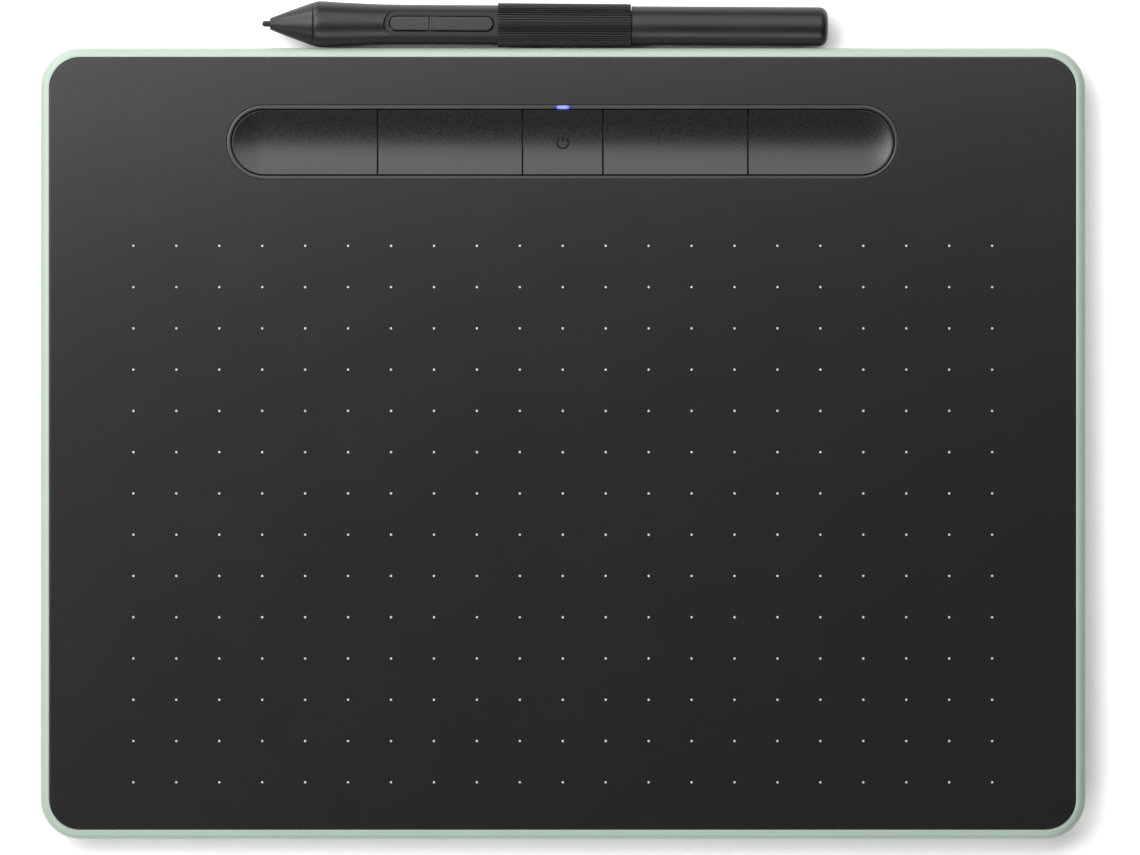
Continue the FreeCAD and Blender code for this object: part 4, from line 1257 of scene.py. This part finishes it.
@dataclass
class Pen:
    """Pen built along X from the nib's tip, then laid on the desk behind the tablet."""

    length: float = 143.0
    tip_x: float = -76.0
    case_rear: float = 99.9
    case_gap: float = 0.3
    nib_radius: float = 0.75
    nib_length: float = 25.0
    cone_start: float = 2.0
    cone_start_radius: float = 1.5
    cone_end: float = 12.9
    cone_end_radius: float = 5.5
    cone_bore: float = 0.95
    cone_bore_end: float = 6.0
    neck_radius: float = 3.9
    neck_bore: float = 3.15
    neck_length: float = 4.0
    crest_start: float = 13.9
    crest_end: float = 15.2
    crest_radius: float = 5.82
    waist_end: float = 38.0
    waist_radius: float = 5.03
    bore: float = 3.95
    collar_start: float = 59.6
    collar_end: float = 93.2
    collar_front: float = 5.55
    collar_rear: float = 5.45
    collar_bore: float = 4.85
    tail_radius: float = 4.75
    rib_count: int = 50
    rib_depth: float = 0.36
    rear_start: float = 93.4
    rear_radius: float = 4.92
    rear_rounding: float = 2.2
    rear_bore: float = 3.77
    rear_wall: float = 4.0
    spigot_start: float = 84.2
    spigot_radius: float = 3.85
    spigot_bore: float = 3.25
    land_start: float = 31.0
    land_half: float = 2.9
    line_width: float = 0.28
    line_depth: float = 0.3
    land_height: float = 4.02
    switch_start: float = 32.4
    switch_end: float = 58.4
    switch_half: float = 1.72
    switch_gap: float = 0.3
    switch_top: float = 5.0
    switch_low: float = 2.75
    groove: float = 42.5
    pivot_height: float = 2.5
    pivot_bore: float = 0.54
    switch_rounding: float = 0.3
    groove_radius: float = 0.38
    lug_half: float = 1.3
    lug_drop: float = 0.9
    nub_radius: float = 0.6
    nubs: tuple[tuple[float, float], ...] = ((34.0, 1.83), (55.0, 1.94))
    laid: Matrix = field(init=False)

    def __post_init__(self) -> None:
        """Works out how the pen lies: its crest and its collar's rear edge touch the desk."""
        slope = (self.crest_radius - self.collar_rear) / (self.collar_end - self.crest_end)
        turn = Vector((1.0, 0.0, 0.0)).rotation_difference(Vector((1.0, -slope, -slope))).to_matrix().to_4x4()
        crest = Vector((
            self.tip_x + self.crest_end, self.case_rear + self.case_gap + self.crest_radius, self.crest_radius
        ))
        self.laid = Matrix.Translation(crest - turn @ Vector((self.crest_end, 0.0, 0.0))) @ turn

    def build(self) -> None:
        """Makes the pen's outer pieces, from the nib to the tail."""
        self.nib()
        self.nose_cone()
        self.front_barrel()
        self.side_switch()
        self.collar()
        self.rear_barrel()

    def nib(self) -> bpy.types.Object:
        """Turns the nib with its round tip.

        Returns:
            The finished nib.
        """
        tip = [
            (self.nib_radius * (1 - math.cos(turn)), self.nib_radius * math.sin(turn))
            for turn in (math.radians(15 * step) for step in range(7))
        ]
        nib = Blank.turned("nib_stick", tip + [(self.nib_length, self.nib_radius), (self.nib_length, 0.0)], 32)
        return nib.finish(NIB, Body.NIB.value, ["pen_nib"], self.laid)

    def nose_cone(self) -> bpy.types.Object:
        """Turns the cone, with a softened mouth and a fine seam at its foot.

        Returns:
            The finished cone.
        """
        start, end, radius = self.cone_start, self.cone_end, self.cone_end_radius
        neck_end = end + self.neck_length
        cone = Blank.turned("nose_cone", [
            (start + 0.1, self.cone_bore), (start, self.cone_bore + 0.1),
            (start, self.cone_start_radius - 0.2), (start + 0.06, self.cone_start_radius - 0.06),
            (start + 0.25, self.cone_start_radius + 0.06),
            (start + 4.0, self.cone_start_radius + 1.52), (end - 3.0, radius - 1.06),
            (end - 0.12, radius - 0.04), (end, radius - 0.14), (end, self.neck_radius),
            (neck_end, self.neck_radius), (neck_end, self.neck_bore), (end, self.neck_bore),
            (self.cone_bore_end, self.cone_bore), (start + 0.1, self.cone_bore),
        ])
        return cone.finish(PEN_BODY, Body.PEN.value, ["pen_nose_cone"], self.laid)

    def flare(self) -> list[tuple[float, float]]:
        """Gives the barrel's outer line from crest to waist, a smooth curve between the two.

        Returns:
            Points as the place along the pen and the radius.
        """
        reach, drop = self.waist_end - self.crest_end, self.crest_radius - self.waist_radius
        poles = [
            (self.crest_end, self.crest_radius), (self.crest_end + reach / 6, self.crest_radius - drop / 4),
            (self.crest_end + reach / 2, self.waist_radius + drop / 40), (self.waist_end, self.waist_radius),
        ]
        points = []
        for step in range(17):
            t = step / 16
            weights = ((1 - t) ** 3, 3 * t * (1 - t) ** 2, 3 * t * t * (1 - t), t ** 3)
            points.append(tuple(sum(w * pole[axis] for w, pole in zip(weights, poles)) for axis in (0, 1)))
        return points

    def front_barrel(self) -> bpy.types.Object:
        """Turns the flared barrel, then cuts the flat land and the side switch's slot.

        Returns:
            The finished barrel.
        """
        start, radius = self.cone_end, self.cone_end_radius
        barrel = Blank.turned("front_barrel", [
            (start, self.bore), (start, radius - 0.14), (start + 0.12, radius - 0.02),
            (self.crest_start - 0.3, self.crest_radius - 0.12), (self.crest_start + 0.3, self.crest_radius - 0.02),
            *self.flare(),
            (self.collar_start, self.waist_radius), (self.collar_start, self.tail_radius),
            (self.collar_end, self.tail_radius), (self.collar_end, self.bore), (start, self.bore),
        ])
        line = self.land_block("land_line", self.land_half + self.line_width, self.land_height - self.line_depth)
        line.cut(self.land_block("land_core", self.land_half - NEAR, self.land_height - 1.0))
        barrel.cut(line)
        barrel.cut(self.land_block("land_tool", self.land_half, self.land_height))
        barrel.cut(self.switch_block("slot_tool", self.switch_half + self.switch_gap, 0.0, self.crest_radius))
        return barrel.finish(PEN_BODY, Body.PEN.value, ["pen_front_barrel"], self.laid, sharp=25.0)

    def land_block(self, name: str, half: float, low: float) -> Blank:
        """Makes a block with the land's outline: round in front, straight at the collar.

        Args:
            name: the piece's name.
            half: half its width; a wider block starts sooner by as much.
            low: the height of its underside.

        Returns:
            The opened blank.
        """
        block = Blank.rounded(
            name, (self.land_start - half + self.land_half, -half, low),
            (self.collar_end, half, self.crest_radius + 2.0 + half), half, 24,
        )
        block.part(self.collar_start, keep_left=True)
        block.face_outwards()
        return block

    def switch_block(self, name: str, half: float, low: float, high: float) -> Blank:
        """Makes a block with the side switch's pill outline.

        Args:
            name: the piece's name.
            half: half its width; a wider block is longer by as much.
            low: the height of its underside.
            high: the height of its top.

        Returns:
            The opened blank.
        """
        grown = half - self.switch_half
        return Blank.rounded(
            name, (self.switch_start - grown, -half, low), (self.switch_end + grown, half, high),
            half, 24,
        )

    def side_switch(self) -> bpy.types.Object:
        """Makes the rocker: rounded top, a groove over its pivot and the lug underneath.

        Returns:
            The finished rocker.
        """
        rocker = self.switch_block("side_rocker", self.switch_half, self.switch_low, self.switch_top)
        rocker.pick_edges(lambda a, b: min(a.z, b.z) > self.switch_top - NEAR)
        rocker.bevel(self.switch_rounding, 4)
        rocker.cut(Blank.bar(
            "groove_tool", self.groove_radius, (self.groove, -3.0, self.switch_top + 0.1),
            (self.groove, 3.0, self.switch_top + 0.1), Along.Y, 32,
        ))
        lug = Blank.block(
            "lug", (self.groove - self.lug_half, -self.switch_half, self.pivot_height - self.lug_drop),
            (self.groove + self.lug_half, self.switch_half, self.switch_low + 0.1),
        )
        lug.cut(Blank.bar(
            "pin_tool", self.pivot_bore, (self.groove, -4.0, self.pivot_height),
            (self.groove, 4.0, self.pivot_height), Along.Y, 32,
        ))
        rocker.join(lug)
        for place, low in self.nubs:
            nub_top = (place, 0.0, self.switch_low + 0.1)
            rocker.join(Blank.bar("nub", self.nub_radius, (place, 0.0, low), nub_top, Along.Z, 24))
        return rocker.finish(PEN_SWITCH, Body.SIDE_SWITCH.value, ["pen_side_switch"], self.laid)

    def collar(self) -> bpy.types.Object:
        """Makes the ribbed sleeve: a many-sided ring with grooves pressed in, drawn along the pen.

        Returns:
            The finished sleeve.
        """
        sides = 4 * self.rib_count
        put_down()
        bpy.ops.mesh.primitive_circle_add(
            vertices=sides, radius=self.collar_front, location=(self.collar_start + 0.15, 0.0, 0.0),
            rotation=Along.X.value,
        )
        collar = Blank("ribbed_collar")
        grooves = {4 * rib + step for rib in range(self.rib_count) for step in (0, 1)}

        def in_groove(place: Vector) -> bool:
            """Tells whether a vertex of the ring is one of the pressed-in ones."""
            turn = math.atan2(place.z, place.y) % (2 * math.pi)
            return round(turn / (2 * math.pi) * sides) % sides in grooves

        collar.pick_vertices(in_groove)
        pressed = 1.0 - self.rib_depth / self.collar_front
        collar.resize((1.0, pressed, pressed), (self.collar_start, 0.0, 0.0))
        collar.pick_all()
        taper = self.collar_rear / self.collar_front
        bore = self.collar_bore / (self.collar_front * pressed)
        self.draw_ring(collar, self.collar_end - self.collar_start - 0.3, taper)
        self.draw_ring(collar, 0.15, 0.985)
        self.draw_ring(collar, 0.0, bore)
        collar.pick_vertices(lambda place: place.x < self.collar_start + 0.15 + NEAR)
        self.draw_ring(collar, -0.15, 0.985)
        self.draw_ring(collar, 0.0, bore)
        ends = (self.collar_start, self.collar_end)
        inner = (self.collar_front + self.collar_bore) / 2 - self.rib_depth
        collar.pick_edges(
            lambda a, b: all(
                min(abs(point.x - end) for end in ends) < NEAR and math.hypot(point.y, point.z) < inner
                for point in (a, b)
            )
        )
        bpy.ops.mesh.bridge_edge_loops()
        collar.face_outwards()
        return collar.finish(PEN_COLLAR, Body.PEN.value, ["pen_grip_collar"], self.laid, sharp=35.0)

    @staticmethod
    def draw_ring(ring: Blank, along: float, factor: float) -> None:
        """Extrudes the selected ring along the pen and scales the new one about the axis."""
        ring.extrude((along, 0.0, 0.0))
        ring.resize((1.0, factor, factor), (0.0, 0.0, 0.0))

    def rear_barrel(self) -> bpy.types.Object:
        """Turns the hollow rear barrel with its round end and its spigot.

        Returns:
            The finished barrel.
        """
        end, radius, rounding, start = self.length, self.rear_radius, self.rear_rounding, self.rear_start
        arc = [
            (end - rounding + rounding * math.cos(turn), radius - rounding + rounding * math.sin(turn))
            for turn in (math.radians(9 * step) for step in range(11))
        ]
        inside = [
            (start, radius - 0.12), (start, self.spigot_radius), (self.spigot_start, self.spigot_radius),
            (self.spigot_start, self.spigot_bore), (start + 0.6, self.spigot_bore),
            (start + 0.6, self.rear_bore), (end - self.rear_wall, self.rear_bore), (end - self.rear_wall, 0.0),
        ]
        barrel = Blank.turned("rear_tube", [(end, 0.0), *arc, (start + 0.12, radius), *inside])
        return barrel.finish(PEN_BODY, Body.REAR_BARREL.value, ["pen_rear_barrel"], self.laid)


# ---- what stays as packed


class PackedPieces:
    """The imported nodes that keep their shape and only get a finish."""

    def dress(self) -> None:
        """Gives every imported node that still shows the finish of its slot."""
        slots = {entry["node"]: entry["material_slot"] for entry in FRAME["record"]["subparts"]}
        for name, piece in FRAME["nodes"].items():
            if not piece.hide_render:
                INNER_FINISHES[slots[name]].dress(piece)
                LOG.info("%s: packed shape, finish %s", name, slots[name])


# ---- studio


@dataclass
class Studio:
    """White desk, soft light from behind on the left, and a camera straight above."""

    aim: tuple[float, float] = (0.00183, 0.00404)
    view_width: float = 0.288
    view_height: float = 0.007
    lens: float = 200.0
    sensor: float = 36.0
    desk_size: float = 6.0

    def build(self) -> None:
        """Makes the desk, the lights and the camera."""
        self.desk()
        self.sky()
        self.light("rear_softbox", (-0.04, 0.33, 0.40), (0.0, 0.05, 0.0), (0.90, 0.50), 3.8)
        self.light("left_softbox", (-0.64, 0.25, 0.90), (0.0, 0.0, 0.0), (0.8, 0.7), 7.8)
        self.light("front_softbox", (-0.20, -0.92, 0.68), (0.0, 0.0, 0.0), (1.4, 0.5), 9.0)
        self.light("low_left_softbox", (-0.60, 0.90, 0.35), (0.0, 0.0, 0.0), (0.5, 0.3), 4.0)
        self.camera()

    def desk(self) -> None:
        """Lays the pale desk under the feet."""
        put_down()
        bpy.ops.mesh.primitive_plane_add(size=self.desk_size, location=(0.0, 0.0, 0.0))
        desk = bpy.context.active_object
        desk.name = "desk"
        Moulded("desk", (0.97, 0.97, 0.97), 0.9, grain=0.002, depth=0.0, mottle=0.0).dress(desk)

    def sky(self) -> None:
        """Fills the room with even white light."""
        world = bpy.data.worlds.new("studio")
        bpy.context.scene.world = world
        world.use_nodes = True
        background = world.node_tree.nodes["Background"]
        background.inputs["Color"].default_value = (1.0, 1.0, 1.0, 1.0)
        background.inputs["Strength"].default_value = 0.1

    def light(self, name: str, place: Point, target: Point, size: tuple[float, float], power: float) -> None:
        """Hangs a softbox that faces a point.

        Args:
            name: the light's name.
            place: where it hangs.
            target: what it faces.
            size: its width and height.
            power: its power in watts.
        """
        data = bpy.data.lights.new(name, "AREA")
        data.shape = "RECTANGLE"
        data.size, data.size_y = size
        data.energy = power
        lamp = bpy.data.objects.new(name, data)
        bpy.context.scene.collection.objects.link(lamp)
        lamp.location = place
        lamp.rotation_euler = (Vector(target) - Vector(place)).to_track_quat("-Z", "Y").to_euler()
        lamp.visible_camera = False

    def camera(self) -> None:
        """Hangs the camera straight above, with the key tray at the top of its view."""
        data = bpy.data.cameras.new("camera")
        data.lens, data.sensor_width = self.lens, self.sensor
        camera = bpy.data.objects.new("camera", data)
        bpy.context.scene.collection.objects.link(camera)
        camera.location = (*self.aim, self.view_height + self.view_width * self.lens / self.sensor)
        data.clip_end = 20.0
        bpy.context.scene.camera = camera
        bpy.context.scene.view_settings.view_transform = "Standard"


def main() -> None:
    """Builds every sub-assembly, dresses the rest, and builds the studio."""
    logging.basicConfig(level=logging.INFO, format="%(name)s %(message)s")
    for assembly in (Case(), Panel(), KeyTray(), Pen()):
        LOG.info("building %s", type(assembly).__name__)
        assembly.build()
    PackedPieces().dress()
    Studio().build()


if __name__ == "__main__":
    main()
